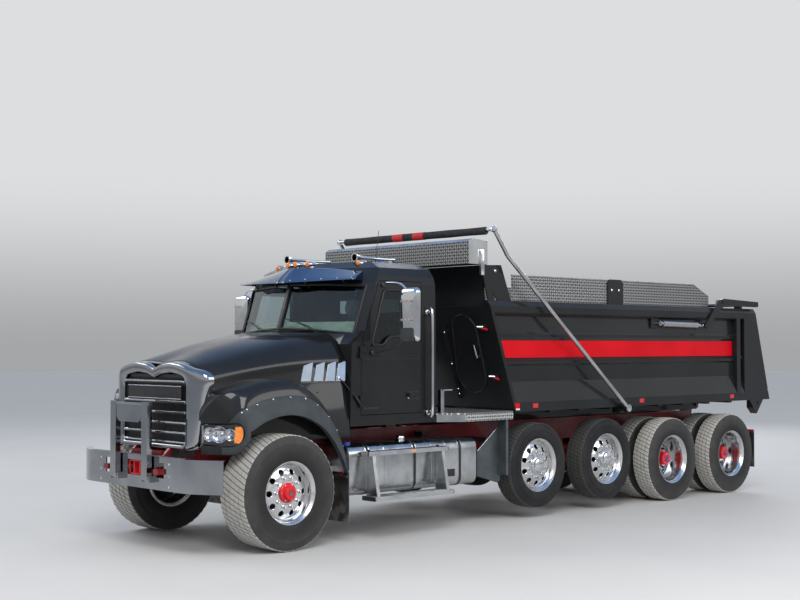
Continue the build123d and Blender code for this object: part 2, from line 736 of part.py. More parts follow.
# Cab shell with its door and window openings
CAB_PLANS = [
    # height, then half-plan points (x, y) from the nose backwards
    (CAB_FLOOR, [(CAB_FRONT, 0), (CAB_FRONT, 420), (CAB_FRONT, 880), (CAB_FRONT, CAB_Y), (CAB_BACK, CAB_Y)]),
    (1985, [(CAB_FRONT, 0), (CAB_FRONT, 420), (CAB_FRONT, 880), (CAB_FRONT - 20, CAB_Y), (CAB_BACK, CAB_Y)]),
    (2120, [(-770, 0), (-860, 420), (-975, 880), (-1080, CAB_Y), (CAB_BACK, CAB_Y)]),
    (2620, [(-935, 0), (-1010, 420), (-1130, 880), (-1240, CAB_Y - 10), (CAB_BACK, CAB_Y - 10)]),
    (ROOF_EDGE, [(-965, 0), (-1045, 400), (-1180, 840), (-1300, CAB_Y - 36), (CAB_BACK, CAB_Y - 36)]),
    (2785, [(-1020, 0), (-1100, 360), (-1250, 780), (-1340, CAB_Y - 85), (CAB_BACK + 15, CAB_Y - 85)]),
    (ROOF_TOP, [(-1130, 0), (-1200, 300), (-1330, 640), (-1400, 800), (CAB_BACK + 60, 800)]),
]


def cab_loft(inset):
    """The cab's space, drawn in by inset."""
    rings = []
    for z, half in CAB_PLANS:
        points = []
        for x, y in half:
            x_new = x + inset if x < -2000 else x - inset
            points.append((x_new, max(y - inset, 0)))
        if z == CAB_FLOOR:
            z += inset
        if z == ROOF_TOP:
            z -= inset
        ring = [(x, y, z) for x, y in points] + [(x, -y, z) for x, y in points[::-1] if y > 0]
        rings.append(Wire.make_polygon([Vector(*p) for p in ring], close=True))
    solid = None
    for a, b in zip(rings, rings[1:]):
        piece = Solid.make_loft([a, b], ruled=True)
        solid = piece if solid is None else solid + piece
    return solid


cab_outer = cab_loft(0)
hood = hood - cab_outer
cab = cab_outer - cab_loft(CAB_WALL)
door_outline = [
    (DOOR_FRONT, DOOR_LOW),
    (DOOR_FRONT, 1960),
    (-1275, DOOR_TOP - 30),
    (-1315, DOOR_TOP),
    (DOOR_BACK, DOOR_TOP),
    (DOOR_BACK, DOOR_LOW),
]
window_outline = [
    (-1160, 1960),
    (-1335, 2530),
    (-1365, 2560),
    (-1800, 2560),
    (-1800, 2050),
    (-1425, 2050),
    (-1340, 1960),
]
door_hole = moved(door_outline, DOOR_GAP)
door_hole[0] = (DOOR_FRONT + DOOR_GAP, DOOR_LOW - DOOR_GAP)
door_hole[-1] = (DOOR_BACK - DOOR_GAP, DOOR_LOW - DOOR_GAP)
cab -= both(side(door_hole, (CAB_Y - CAB_WALL - 20, CAB_Y + 20)))
pane = [(22, 2148), (480, 2130), (950, 2092), (962, 2590), (480, 2612), (22, 2618)]
for s in (1, -1):
    cab -= front([(s * y, z) for y, z in pane], (-1400, -600))
REAR_WINDOW_Y, REAR_WINDOW_Z = (-520, 520), (2070, 2480)
cab -= box((CAB_BACK - 20, CAB_BACK + CAB_WALL + 20), REAR_WINDOW_Y, REAR_WINDOW_Z)
for s in (1, -1):
    for z in DOOR_HINGE_Z:
        pin_at = (DOOR_FRONT + 22, s * (CAB_Y + 18))
        pin = rod((*pin_at, z - 30), (*pin_at, z + 60), HINGE_PIN_R)
        ear = box((DOOR_FRONT + 8, DOOR_FRONT + 42), (s * (CAB_Y - 10), s * (CAB_Y + 32)), (z - 60, z - 4))
        cab += ear + pin
grip_x, grip_y = -1985, CAB_Y + 65
grip = rod((grip_x, grip_y, 1300), (grip_x, grip_y, 2290), 16)
grip += rod((grip_x, CAB_Y - 10, 1255), (grip_x, grip_y, 1310), 14)
grip += rod((grip_x, CAB_Y - 20, 2325), (grip_x, grip_y, 2280), 14)
cab += both(grip)
parts["cab_shell"] = cab
cab_mounts = both(box((-1100, -1000), SPRING_Y, (RAIL_TOP, CAB_FLOOR)))
cab_mounts += both(box((-2050, -1950), SPRING_Y, (RAIL_TOP, CAB_FLOOR)))
parts["frame"] = parts["frame"] + cab_mounts

# Glass: two windscreen panes, the rear window and the door panes
glass = None
cab_skin = cab_loft(GLASS_DEEP) - cab_loft(GLASS_DEEP + GLASS_T)
for s in (1, -1):
    region = front([(s * y, z) for y, z in pane], (-1400, -600)) & cab_skin
    glass = region if glass is None else glass + region
glass += box((CAB_BACK + GLASS_DEEP, CAB_BACK + GLASS_DEEP + GLASS_T), REAR_WINDOW_Y, REAR_WINDOW_Z)
parts["cab_glass"] = glass

# Doors, each with its pane and mirror
for name, s in (("left", 1), ("right", -1)):
    y_out, y_in = s * CAB_Y, s * (CAB_Y - CAB_WALL)
    door = side(door_outline, (y_in, y_out)) - side(window_outline, (s * 900, s * 1100))
    keep = cab_outer + box((-2100, -1000), (s * 900, s * CAB_Y), (1200, 2100))
    door = door & keep
    for z in DOOR_HINGE_Z:
        pin_at = (DOOR_FRONT + 22, s * (CAB_Y + 18))
        hinge = rod((*pin_at, z), (*pin_at, z + 56), 14)
        hinge += box((DOOR_FRONT - 60, DOOR_FRONT - 2), (s * (CAB_Y - 1), s * (CAB_Y + 24)), (z, z + 56))
        hinge += box((DOOR_FRONT - 10, DOOR_FRONT + 22), (s * (CAB_Y + 6), s * (CAB_Y + 24)), (z, z + 56))
        hinge -= rod((*pin_at, z - 10), (*pin_at, z + 70), HINGE_PIN_R + BORE_GAP)
        door += hinge
    door += box((-1830, -1680), (s * (CAB_Y - 1), s * (CAB_Y + 32)), (1425, 1470))
    parts[f"door_{name}"] = door
    pane_y = (s * (CAB_Y - 34), s * (CAB_Y - 28))
    parts[f"door_glass_{name}"] = side(window_outline, pane_y)
    head = [
        (1290, 2040),
        (1290, 2520),
        (1320, 2560),
        (1530, 2560),
        (1560, 2520),
        (1560, 2040),
        (1530, 2000),
        (1320, 2000),
    ]
    mirror_body = front([(s * y, z) for y, z in head], (-1395, -1320))
    mirror_body += rod((-1180, s * (CAB_Y - 4), 1900), (-1330, s * 1360, 2020), 14)
    mirror_body += rod((-1340, s * (CAB_Y - 16), 2600), (-1350, s * 1360, 2540), 14)
    mirror_body = mirror_body - parts[f"door_{name}"]
    parts[f"mirror_{name}"] = mirror_body

# Visor, air horns, roof lamps
VISOR = [(-786, 0, 2633), (-954, 0, 2797), (-1320, 800, 2763), (-1000, 990, 2650)]
visor = None
for tri in ((0, 1, 2), (0, 2, 3)):
    face = polygon([VISOR[i] for i in tri])
    piece = Solid.extrude(face, Vector(0, 0, 10))
    visor = piece if visor is None else visor + piece
visor = both(visor)
for s in (1, -1):
    visor += rod((-960, s * 300, 2560), (-905, s * 300, 2670), 12)
for y, z, x0, x1 in ((600, 2905, -1910, -1330), (-450, 2925, -1880, -1250)):
    visor += rod((x1, y, z), (x1 - 120, y, z), 48)
    visor += rod((x1 - 110, y, z), (x0, y, z), 24)
    visor += rod((x0, y, z), (x0 + 90, y, z), 40)
    for x in (x1 - 60, x0 + 60):
        visor += box((x - 20, x + 20), (y - 16, y + 16), (2790, z))
visor = visor - cab_outer
parts["visor"] = visor
lamp_rows = ((-1000, 0), (-1035, 165), (-1035, -165), (-1300, 690), (-1300, -690))
roof_lamps = None
for x, y in lamp_rows:
    one = rod((x - 150, y, 2835), (x + 10, y, 2845), 34)
    one += box((x - 120, x - 40), (y - 24, y + 24), (2740, 2840))
    roof_lamps = one if roof_lamps is None else roof_lamps + one
roof_lamps = roof_lamps - cab_outer
roof_lamps = roof_lamps - visor
parts["roof_lamps"] = roof_lamps

# Inside the cab: dashboard, steering wheel and seats
interior = box((-1330, -1100), (-960, 960), (1640, 1940))
interior += box((-1100, -960), (-800, 800), (1500, 1900))
wheel_centre = Vector(-1420, 480, 1900)
tilt = Plane(origin=wheel_centre, z_dir=(-0.75, 0, 0.66))
interior += tilt * (Cylinder(230, 26) - Cylinder(204, 40))
interior += tilt * (Box(440, 34, 16) + Box(34, 440, 16))
interior += tilt * (Pos(0, 0, -100) * Cylinder(26, 200))
for y in (480, -480):
    interior += box((-1880, -1480), (y - 240, y + 240), (CAB_FLOOR + CAB_WALL, 1620))
    interior += side([(-1850, 1600), (-1990, 2330), (-1870, 2330), (-1730, 1600)], (y - 230, y + 230))
parts["cab_interior"] = interior & cab_loft(CAB_WALL + 4)
parts["hood"] = hood

# Dump body
WALL_PROFILE = [
    # y, z of the outer skin, from the lower edge up
    (SIDE_Y, SIDE_LOW),
    (SIDE_Y, 1330),
    (1160, 1545),
    (PANEL_Y + 5, 1560),
    (PANEL_Y + 5, 1740),
    (1175, 1760),
    (1175, 1795),
    (PANEL_Y - 10, 1826),
    (PANEL_Y - 10, 2030),
    (PANEL_Y + 10, 2060),
    (PANEL_Y + 10, 2100),
    (PANEL_Y, 2120),
    (PANEL_Y - 10, 2300),
    (1200, 2318),
    (SIDE_Y, 2335),
    (SIDE_Y, 2410),
    (1190, SIDE_TOP),
    (INNER_Y, SIDE_TOP),
    (INNER_Y, SIDE_LOW),
]
wall = front(WALL_PROFILE, (FRONT_EDGE_TOP + 200, REAR_EDGE_LOW - 100))
front_lean = [
    (FRONT_EDGE_TOP + 400, SIDE_LOW - 50),
    (body_front_x(SIDE_LOW - 50), SIDE_LOW - 50),
    (body_front_x(SIDE_TOP + 50), SIDE_TOP + 50),
    (FRONT_EDGE_TOP + 400, SIDE_TOP + 50),
]
rear_lean = [
    (REAR_EDGE_LOW - 400, SIDE_LOW - 50),
    (body_rear_x(SIDE_LOW - 50), SIDE_LOW - 50),
    (body_rear_x(SIDE_TOP + 50), SIDE_TOP + 50),
    (REAR_EDGE_LOW - 400, SIDE_TOP + 50),
]
wall = wall - side(front_lean, (900, 1400)) - side(rear_lean, (900, 1400))
wall += box((REAR_POST_X - 45, REAR_POST_X + 45), (INNER_Y, SIDE_Y), (SIDE_LOW, 2335))
plate_outline = [
    (-7840, 2335),
    (body_rear_x(2335), 2335),
    (REAR_EDGE_LOW, REAR_EDGE_Z[1]),
    (-8135, 1036),
    (-7960, SIDE_LOW),
    (-7840, SIDE_LOW),
]
wall += side(plate_outline, (1180, SIDE_Y)) - across(-8150, 1180, (1100, 1300), 22)
wall += side([(-8150, 1300), (-8135, 1036), (-8040, 1120), (-8040, 1300)], (1120, SIDE_Y))
body = both(wall)

# Front wall leaning with the sides' front edges, its access plate, posts and the shield above
wall_line = [(body_front_x(z) + 2, z) for z in (SIDE_LOW + 10, FRONT_WALL_TOP)]
body += side(strip(wall_line, -FRONT_WALL_T), (-SIDE_Y + 2, SIDE_Y - 2))


def on_front_wall(outline, t):
    """A (y, z) outline seen from the front, made a plate of thickness t on the leaning wall."""
    z0, z1 = SIDE_LOW, FRONT_WALL_TOP
    x0, x1 = body_front_x(z0), body_front_x(z1)
    slab = side([(x0, z0), (x1, z1), (x1 + t, z1), (x0 + t, z0)], (-SIDE_Y, SIDE_Y))
    return slab & front(outline, (FRONT_EDGE_LOW - 100, FRONT_EDGE_TOP + 200))


oval = []
for plate_y, plate_z, r, first in ((750, 2140, 190, 0), (690, 1660, 230, 180)):
    for a in range(first, first + 181, 20):
        a = math.radians(a)
        oval.append((plate_y + r * math.cos(a), plate_z + r * math.sin(a)))
body += both(on_front_wall(oval, 14))
post_low, post_top = DECK_TOP + 120, 2200
body += both(on_front_wall([(400, post_low), (400, post_top), (440, post_top), (440, post_low)], 60))
shield = [
    (body_front_x(FRONT_WALL_TOP) - 20, FRONT_WALL_TOP - 20),
    (body_front_x(FRONT_WALL_TOP) - 8, FRONT_WALL_TOP - 20),
    (FRONT_EDGE_TOP + 8, HOUSING_LOW),
    (FRONT_EDGE_TOP - 4, HOUSING_LOW),
]
body += side(shield, (-1130, 1130))
FLOOR_BACK = body_rear_x(REAR_EDGE_Z[1]) + 120
floor_z = (BODY_FLOOR - FLOOR_T, BODY_FLOOR)
body += box((FLOOR_BACK, body_front_x(BODY_FLOOR) - 20), (-INNER_Y - 20, INNER_Y + 20), floor_z)
SILL_LOW = RAIL_TOP + 10
FLOOR_WELD = BODY_FLOOR - FLOOR_T + 5
body += both(box((BED_HINGE[0] - 20, -3250), SPRING_Y, (SILL_LOW, FLOOR_WELD)))
BEAM_COUNT, BEAM_FIRST, BEAM_STEP = 9, -3420, 530
for n in range(BEAM_COUNT):
    x = BEAM_FIRST - n * BEAM_STEP
    body += box((x - 40, x + 40), (-INNER_Y, INNER_Y), (BODY_FLOOR - 95, FLOOR_WELD))
ear = side(
    [
        (BED_HINGE[0] + 55, BODY_FLOOR - 20),
        (BED_HINGE[0] + 55, BED_HINGE[1] - 55),
        (BED_HINGE[0] - 55, BED_HINGE[1] - 55),
        (BED_HINGE[0] - 55, BODY_FLOOR - 20),
    ],
    SPRING_Y,
)
body += both(ear)
# Doghouse for the hoist
DOG_Y = 200
DOG_FRONT = HOIST_HEAD[0] + 230
DOG_BACK_TOP, DOG_BACK_LOW = HOIST_HEAD[0] - 180, HOIST_HEAD[0] - 640
DOG_TOP = HOIST_HEAD[1] + 210
dog = side(
    [
        (DOG_FRONT + 30, BODY_FLOOR - 20),
        (DOG_FRONT + 30, DOG_TOP),
        (DOG_BACK_TOP - 30, DOG_TOP),
        (DOG_BACK_LOW - 30, BODY_FLOOR - 20),
    ],
    (-DOG_Y - 30, DOG_Y + 30),
)
dog_inside = side(
    [
        (DOG_FRONT, SIDE_LOW - 100),
        (DOG_FRONT, DOG_TOP - 30),
        (DOG_BACK_TOP, DOG_TOP - 30),
        (DOG_BACK_LOW, SIDE_LOW - 100),
    ],
    (-DOG_Y, DOG_Y),
)
body += dog
body -= dog_inside
bracket_x = (HOIST_HEAD[0] - 50, HOIST_HEAD[0] + 50)
body += both(box(bracket_x, (90, DOG_Y + 5), (HOIST_HEAD[1] - 60, DOG_TOP - 25)))
body -= rod((BED_HINGE[0], -500, BED_HINGE[1]), (BED_HINGE[0], 500, BED_HINGE[1]), BED_PIN_R + BORE_GAP)
# Brackets for the lift levers and cylinders
eye_x, eye_z = GATE_EYE
body += both(box((eye_x - 30, eye_x + 130), (1150, 1168), (eye_z - 60, 2340)))
body += both(across(eye_x, eye_z, (1150, 1222), GATE_PIN_R))
pivot_x, pivot_z = LEVER_PIVOT
pedestal = [
    (pivot_x - 70, SIDE_TOP - 10),
    (pivot_x + 70, SIDE_TOP - 10),
    (pivot_x + 32, pivot_z + 30),
    (pivot_x - 32, pivot_z + 30),
]
body += both(side(pedestal, (1160, 1205)))
body += both(across(pivot_x, pivot_z, (1160, LEVER_Y[1] + 8), LEVER_PIN_R))
arm_x, arm_z = TARP_PIVOT
body += both(across(arm_x, arm_z, (SIDE_Y - 30, TARP_ARM_Y + 20), TARP_PIN_R))
body += both(box((arm_x - 60, arm_x + 60), (INNER_Y, SIDE_Y), (arm_z - 60, SIDE_LOW + 10)))
parts["dump_body"] = body

# Side boards of tread plate, with their posts
boards = [
    (-3205, SIDE_TOP + 1),
    (-3205, 2770),
    (-6750, 2770),
    (-7100, 2620),
    (-7100, SIDE_TOP + 1),
]
side_boards = side(boards, (1140, 1152))
post = [(-3178, SIDE_TOP), (-3014, 2869), (-2770, 2859), (-2757, 2700), (-2950, SIDE_TOP)]
side_boards += side(post, (1152, 1168))
side_boards += box((-5110, -5030), (1152, 1166), (SIDE_TOP, 2790))
joint = [(-3205, SIDE_TOP + 1), (-3205, 2770), (-3060, 2770), (-3190, SIDE_TOP + 1)]
side_boards += side(joint, (1140, 1152))
parts["side_boards"] = both(side_boards)

# Tarp housing above the body's front
housing_outline = [
    (HOUSING_FRONT, HOUSING_LOW),
    (HOUSING_FRONT, HOUSING_TOP - 30),
    (HOUSING_FRONT - 60, HOUSING_TOP),
    (HOUSING_BACK, HOUSING_TOP - 20),
    (HOUSING_BACK, HOUSING_LOW),
]
housing = side(housing_outline, (-SIDE_Y + 4, SIDE_Y - 4)) - side(
    [
        (HOUSING_FRONT - 8, HOUSING_LOW - 1),
        (HOUSING_FRONT - 8, HOUSING_TOP - 36),
        (HOUSING_FRONT - 64, HOUSING_TOP - 9),
        (HOUSING_BACK + 8, HOUSING_TOP - 28),
        (HOUSING_BACK + 8, HOUSING_LOW - 1),
    ],
    (-SIDE_Y + 12, SIDE_Y - 12),
)
housing += both(rod((-2640, SIDE_Y + 10, 2740), (-2640, SIDE_Y + 10, 3022), 26))
strut = [(-2640, HOUSING_LOW + 60), (-2740, HOUSING_LOW + 60), (-2900, SIDE_TOP - 60), (-2800, SIDE_TOP - 60)]
housing += both(side(strut, (1172, 1190)))
housing = housing - parts["dump_body"] - parts["side_boards"]
parts["tarp_housing"] = housing

# Tarp arms with the rolled tarp between them
elbow_x, elbow_z = TARP_ELBOW
bend_x, bend_z = elbow_x - 224, elbow_z - 287
tarp = rod((arm_x, TARP_ARM_Y, arm_z), (bend_x, TARP_ARM_Y, bend_z), TARP_TUBE_R)
tarp += rod((bend_x, TARP_ARM_Y, bend_z), (elbow_x, TARP_ARM_Y, elbow_z), TARP_TUBE_R)
tarp += across(arm_x, arm_z, (TARP_ARM_Y - 40, TARP_ARM_Y + 14), 55)
tarp -= across(arm_x, arm_z, (TARP_ARM_Y - 60, TARP_ARM_Y + 60), TARP_PIN_R + BORE_GAP)
tarp = both(tarp) + across(elbow_x, elbow_z, (-TARP_ARM_Y, TARP_ARM_Y), TARP_PIN_R)
tarp += across(elbow_x, elbow_z - 10, (40 - SIDE_Y, SIDE_Y - 40), TARP_ROLL_R)
parts["tarp_arms"] = tarp

# Tailgate with its lift levers and cylinders
lever_outline = [
    (LEVER_FOOT[0] + 45, LEVER_FOOT[1] - 10),
    (LEVER_FOOT[0] - 20, LEVER_FOOT[1] - 45),
    (LEVER_FOOT[0] - 60, LEVER_FOOT[1] - 10),
    (pivot_x - 20, pivot_z - 48),
    (LEVER_REAR[0] + 20, LEVER_REAR[1] - 38),
    (LEVER_REAR[0] - 32, LEVER_REAR[1] - 34),
    (LEVER_REAR[0] - 42, LEVER_REAR[1]),
    (LEVER_REAR[0] - 32, LEVER_REAR[1] + 34),
    (pivot_x - 10, pivot_z + 48),
    (pivot_x + 60, pivot_z + 34),
]
lever = side(lever_outline, LEVER_Y)
lever -= across(pivot_x, pivot_z, (1200, 1300), LEVER_PIN_R + BORE_GAP)
lever -= across(*LEVER_REAR, (1200, 1300), GATE_BAR_R + BORE_GAP)
parts["gate_levers"] = both(lever)

gate_top, gate_low = 2455, BODY_FLOOR - 30
rear_face = [(body_rear_x(z) + 6, z) for z in (gate_low, gate_top)]
front_face = [(x + 70, z) for x, z in rear_face[::-1]]
tailgate = side(rear_face + front_face, (-1085, 1085))
for z in (1500, 1800, 2100, 2380):
    x = body_rear_x(z) + 6
    tailgate += box((x - 20, x + 20), (-1085, 1085), (z - 40, z + 40))
gate_ear = [
    (LEVER_REAR[0] + 20, LEVER_REAR[1]),
    (LEVER_REAR[0], LEVER_REAR[1] + 30),
    (LEVER_REAR[0] - 30, LEVER_REAR[1]),
    (body_rear_x(2300) + 20, 2300),
    (body_rear_x(2300) + 60, 2300),
]
tailgate += both(side(gate_ear, (900, 1000)))
tailgate += across(*LEVER_REAR, (-LEVER_Y[1] - 4, LEVER_Y[1] + 4), GATE_BAR_R)
parts["tailgate"] = tailgate


def on_cylinder(x):
    """The point at x on the line from the cylinder's fixed eye to its rod's eye."""
    foot_x, foot_z = LEVER_FOOT
    return (x, GATE_CYL_Y, between(eye_z, foot_z, (eye_x - x) / (eye_x - foot_x)))


rod_eye_x = LEVER_FOOT[0]
barrels = rod(on_cylinder(eye_x - 55), on_cylinder(rod_eye_x + 150), GATE_BARREL_R)
barrels += rod(on_cylinder(eye_x), on_cylinder(eye_x - 60), 22)
barrels += across(eye_x, eye_z, (1170, 1220), 30)
barrels -= across(eye_x, eye_z, (1160, 1230), GATE_PIN_R + BORE_GAP)
barrels -= rod(on_cylinder(eye_x - 70), on_cylinder(rod_eye_x + 100), GATE_ROD_R + BORE_GAP)
rods = rod(on_cylinder(eye_x - 80), on_cylinder(rod_eye_x + 20), GATE_ROD_R)
rods += across(*LEVER_FOOT, (1172, 1222), 28)
parts["gate_cylinder_barrels"] = both(barrels)
parts["gate_cylinder_rods"] = both(rods)

# Telescopic hoist: a barrel on the frame and three stages
foot = Vector(HOIST_FOOT[0], 0, HOIST_FOOT[1])
head = Vector(HOIST_HEAD[0], 0, HOIST_HEAD[1])
way = (head - foot).normalized()
length = (head - foot).length


def hoist_tube(start, end, r_out, r_in):
    a, b = foot + way * start, foot + way * end
    tube = rod(a, b, r_out)
    if r_in:
        tube -= rod(foot + way * (start + 20), foot + way * (end + 20), r_in)
    return tube


r0, r1, r2, r3 = HOIST_RADII
barrel = hoist_tube(60, length - 200, r0, r1 + BORE_GAP)
barrel += rod((foot.X, -60, foot.Z), (foot.X, 60, foot.Z), 60)
barrel -= across(foot.X, foot.Z, (-70, 70), HOIST_PIN_R + BORE_GAP)
parts["hoist_barrel"] = barrel
parts["hoist_stage_1"] = hoist_tube(90, length - 160, r1, r2 + BORE_GAP)
parts["hoist_stage_2"] = hoist_tube(120, length - 120, r2, r3 + BORE_GAP)
stage_3 = rod(foot + way * 150, foot + way * (length - 40), r3)
stage_3 += across(head.X, head.Z, (-60, 60), 52)
stage_3 += across(head.X, head.Z, (-82, 82), HOIST_PIN_R)
parts["hoist_stage_3"] = stage_3

# The origin goes to mid-length, between the guard and the tailgate's foot
MIDDLE = (FRONT_TIP + body_rear_x(gate_low) + 6) / 2
print("middle", MIDDLE)

os.makedirs("parts", exist_ok=True)
for old in os.listdir("parts"):
    if old.endswith(".step"):
        os.remove(os.path.join("parts", old))
for name, shape in parts.items():
    placed = Pos(-MIDDLE, 0, 0) * shape
    export_step(Compound(children=placed.solids()), f"parts/{name}.step")
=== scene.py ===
import math

import bpy
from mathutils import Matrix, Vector


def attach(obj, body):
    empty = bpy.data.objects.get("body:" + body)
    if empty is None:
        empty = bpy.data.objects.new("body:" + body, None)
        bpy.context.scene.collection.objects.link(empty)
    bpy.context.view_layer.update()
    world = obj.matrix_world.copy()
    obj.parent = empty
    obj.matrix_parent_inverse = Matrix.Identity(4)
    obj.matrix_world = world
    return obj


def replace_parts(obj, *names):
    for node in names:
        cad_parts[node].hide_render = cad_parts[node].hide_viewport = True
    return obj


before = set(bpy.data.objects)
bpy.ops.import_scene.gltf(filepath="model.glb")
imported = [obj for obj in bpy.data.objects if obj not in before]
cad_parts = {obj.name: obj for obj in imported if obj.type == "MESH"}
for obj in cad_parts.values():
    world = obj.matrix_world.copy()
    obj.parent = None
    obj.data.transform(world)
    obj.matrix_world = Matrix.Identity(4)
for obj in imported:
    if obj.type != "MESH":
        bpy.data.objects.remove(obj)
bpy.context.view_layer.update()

# Positions are in millimetres with X = 0 at the front axle; the row frame's origin is at mid-length.
MIDDLE = -3697.5
TAU = 2 * math.pi
SIDES = (("left", 1), ("right", -1))
UP, OUT = (0, 0, 1), (0, 1, 0)
SHARP = 32  # edges bent by more degrees than this stay sharp


def at(x, y, z):
    return Vector(((x - MIDDLE) / 1000, y / 1000, z / 1000))


# Materials
DUST = (0.36, 0.34, 0.31)
TREAD_DUST = (0.56, 0.55, 0.52)
COAT_ROUGHNESS = 0.06
PLATE_PITCH = 0.034
TREAD_BLOCKS = 66


class Nodes:
    """A node tree, with a short call for each kind of node that the looks use."""

    def __init__(self, tree):
        self.tree = tree

    def put(self, value, socket):
        if isinstance(value, bpy.types.NodeSocket):
            self.tree.links.new(value, socket)
        else:
            socket.default_value = value

    def new(self, kind, settings=(), inputs=()):
        n = self.tree.nodes.new("ShaderNode" + kind)
        for key, value in dict(settings).items():
            setattr(n, key, value)
        for key, value in dict(inputs).items():
            self.put(value, n.inputs[key])
        return n

    def maths(self, op, a, b=0.0, c=0.0, clamp=False):
        return self.new("Math", dict(operation=op, use_clamp=clamp), enumerate((a, b, c))).outputs[0]

    def plus(self, a, b, clamp=False):
        return self.maths("ADD", a, b, clamp=clamp)

    def minus(self, a, b):
        return self.maths("SUBTRACT", a, b)

    def times(self, a, b):
        return self.maths("MULTIPLY", a, b)

    def square(self, a):
        return self.maths("POWER", a, 2.0)

    def spread(self, value, a, b, c=0.0, d=1.0):
        """value from a..b to c..d, smoothly and clamped."""
        ends = {"Value": value, "From Min": a, "From Max": b, "To Min": c, "To Max": d}
        return self.new("MapRange", dict(interpolation_type="SMOOTHSTEP"), ends).outputs[0]

    def mixed(self, factor, a, b):
        """Colour a to colour b; each is a socket or three numbers."""
        a, b = (c if isinstance(c, bpy.types.NodeSocket) else (*c, 1.0) for c in (a, b))
        return self.new("Mix", dict(data_type="RGBA"), {0: factor, 6: a, 7: b}).outputs[2]

    def fade(self, value, a, b, low, high):
        """The colour low to the colour high as value goes from a to b."""
        return self.mixed(self.spread(value, a, b), low, high)

    def xyz(self, vector):
        return self.new("SeparateXYZ", inputs={0: vector}).outputs

    def noise(self, vector, scale):
        return self.new("TexNoise", inputs={"Vector": vector, "Scale": scale, "Detail": 3.0}).outputs["Fac"]

    def bump(self, height, strength, distance=0.001):
        return self.new("Bump", inputs={"Strength": strength, "Distance": distance, "Height": height}).outputs[0]


class Look(Nodes):
    """A new material, with the nodes that feed its Principled BSDF."""

    def __init__(self, name):
        self.mat = bpy.data.materials.new(name)
        self.mat.use_nodes = True
        super().__init__(self.mat.node_tree)
        self.bsdf = self.tree.nodes["Principled BSDF"]
        self.vector = self.new("TexCoord").outputs["Object"]

    def give(self, values):
        """Sets or links the shader's inputs and returns the material."""
        for key, value in values.items():
            self.put(value, self.bsdf.inputs[key])
        return self.mat


def surface(name, dark, light, metallic=0.0, rough=(0.4, 0.5), scale=3.0, coat=0.0, bump=0.0, bump_scale=200.0,
            dust=None, stretch=None, specular=0.5):
    """A finish whose colour and roughness vary with noise; dust = (low z, high z, amount) is thicker low down."""
    look = Look(name)
    vector = look.vector
    if stretch:
        vector = look.new("Mapping", inputs={"Vector": vector, "Scale": stretch}).outputs[0]
    base = look.fade(look.noise(vector, scale), 0.3, 0.7, dark, light)
    roughness = look.spread(look.noise(vector, scale * 2.3), 0.3, 0.7, *rough)
    if dust:
        low, high, amount = dust
        cover = look.times(look.spread(look.xyz(look.vector)[2], high, low),
                           look.spread(look.noise(look.vector, 9.0), 0.35, 0.62))
        cover = look.times(cover, amount)
        base = look.mixed(cover, base, DUST)
        roughness = look.plus(roughness, look.times(cover, 0.4), clamp=True)
        metallic = look.times(look.minus(1.0, cover), metallic)
    values = {"Base Color": base, "Roughness": roughness, "Metallic": metallic, "Specular IOR Level": specular,
              "Coat Weight": coat, "Coat Roughness": COAT_ROUGHNESS}
    if bump:
        values["Normal"] = look.bump(look.noise(vector, bump_scale), bump)
    return look.give(values)


def tread_plate(name, u_axis, v_axis, bright=1.0):
    """Aluminium sheet with raised lozenges that alternate in direction."""
    look = Look(name)
    position = look.xyz(look.vector)
    u, v = (look.maths("DIVIDE", position[axis], PLATE_PITCH) for axis in (u_axis, v_axis))
    cell = look.plus(look.maths("FLOOR", u), look.maths("FLOOR", v))
    sign = look.maths("MULTIPLY_ADD", look.maths("PINGPONG", cell, 1.0), 2.0, -1.0)
    across, along = (look.minus(look.maths("FRACT", line), 0.5) for line in (u, v))
    along = look.times(along, sign)
    shape = look.plus(look.square(look.maths("DIVIDE", look.plus(across, along), 0.66)),
                      look.square(look.maths("DIVIDE", look.minus(across, along), 0.27)))
    raised = look.spread(shape, 1.1, 0.6)
    smudge = look.noise(look.vector, 1.7)
    dark, light, top = ([grey * bright] * 3 for grey in (0.10, 0.14, 0.54))
    return look.give({"Base Color": look.mixed(raised, look.mixed(smudge, dark, light), top), "Metallic": 0.8,
                      "Roughness": look.spread(smudge, 0.3, 0.7, 0.38, 0.48),
                      "Normal": look.bump(raised, 0.3, 0.002)})


def rubber(name, radius, dusty):
    """Tyre rubber, with sipes in a worn tread that is pale with dust; made for a wheel about the object's origin."""
    look = Look(name)
    p = look.xyz(look.vector)
    r = look.maths("SQRT", look.plus(look.square(p[0]), look.square(p[2])))
    cloud = look.noise(look.vector, 9.0)
    worn = look.times(look.spread(r, radius - 0.019, radius - 0.007), look.spread(cloud, 0.1, 0.5, 0.75, 1.0))
    wall = look.times(look.spread(r, radius - 0.22, radius - 0.03, 0.25, 1.0), look.spread(cloud, 0.3, 0.8, 0.5, 1.0))
    turn = look.maths("MULTIPLY_ADD", look.maths("ARCTAN2", p[2], p[0]), TREAD_BLOCKS / TAU, look.times(p[1], 7.0))
    sipe = look.spread(look.maths("ABSOLUTE", look.minus(look.maths("FRACT", turn), 0.5)), 0.06, 0.12, 1.0, 0.0)
    worn = look.times(worn, look.maths("MULTIPLY_ADD", sipe, -0.8, 1.0))
    cover = look.times(look.maths("MAXIMUM", worn, look.times(wall, 0.10)), dusty)
    base = look.fade(look.noise(look.vector, 4.0), 0.3, 0.7, (0.009, 0.009, 0.010), (0.018, 0.018, 0.019))
    return look.give({"Base Color": look.mixed(cover, base, TREAD_DUST), "Specular IOR Level": 0.3,
                      "Roughness": look.spread(cloud, 0.3, 0.7, 0.62, 0.85),
                      "Normal": look.bump(look.noise(look.vector, 260.0), 0.25)})


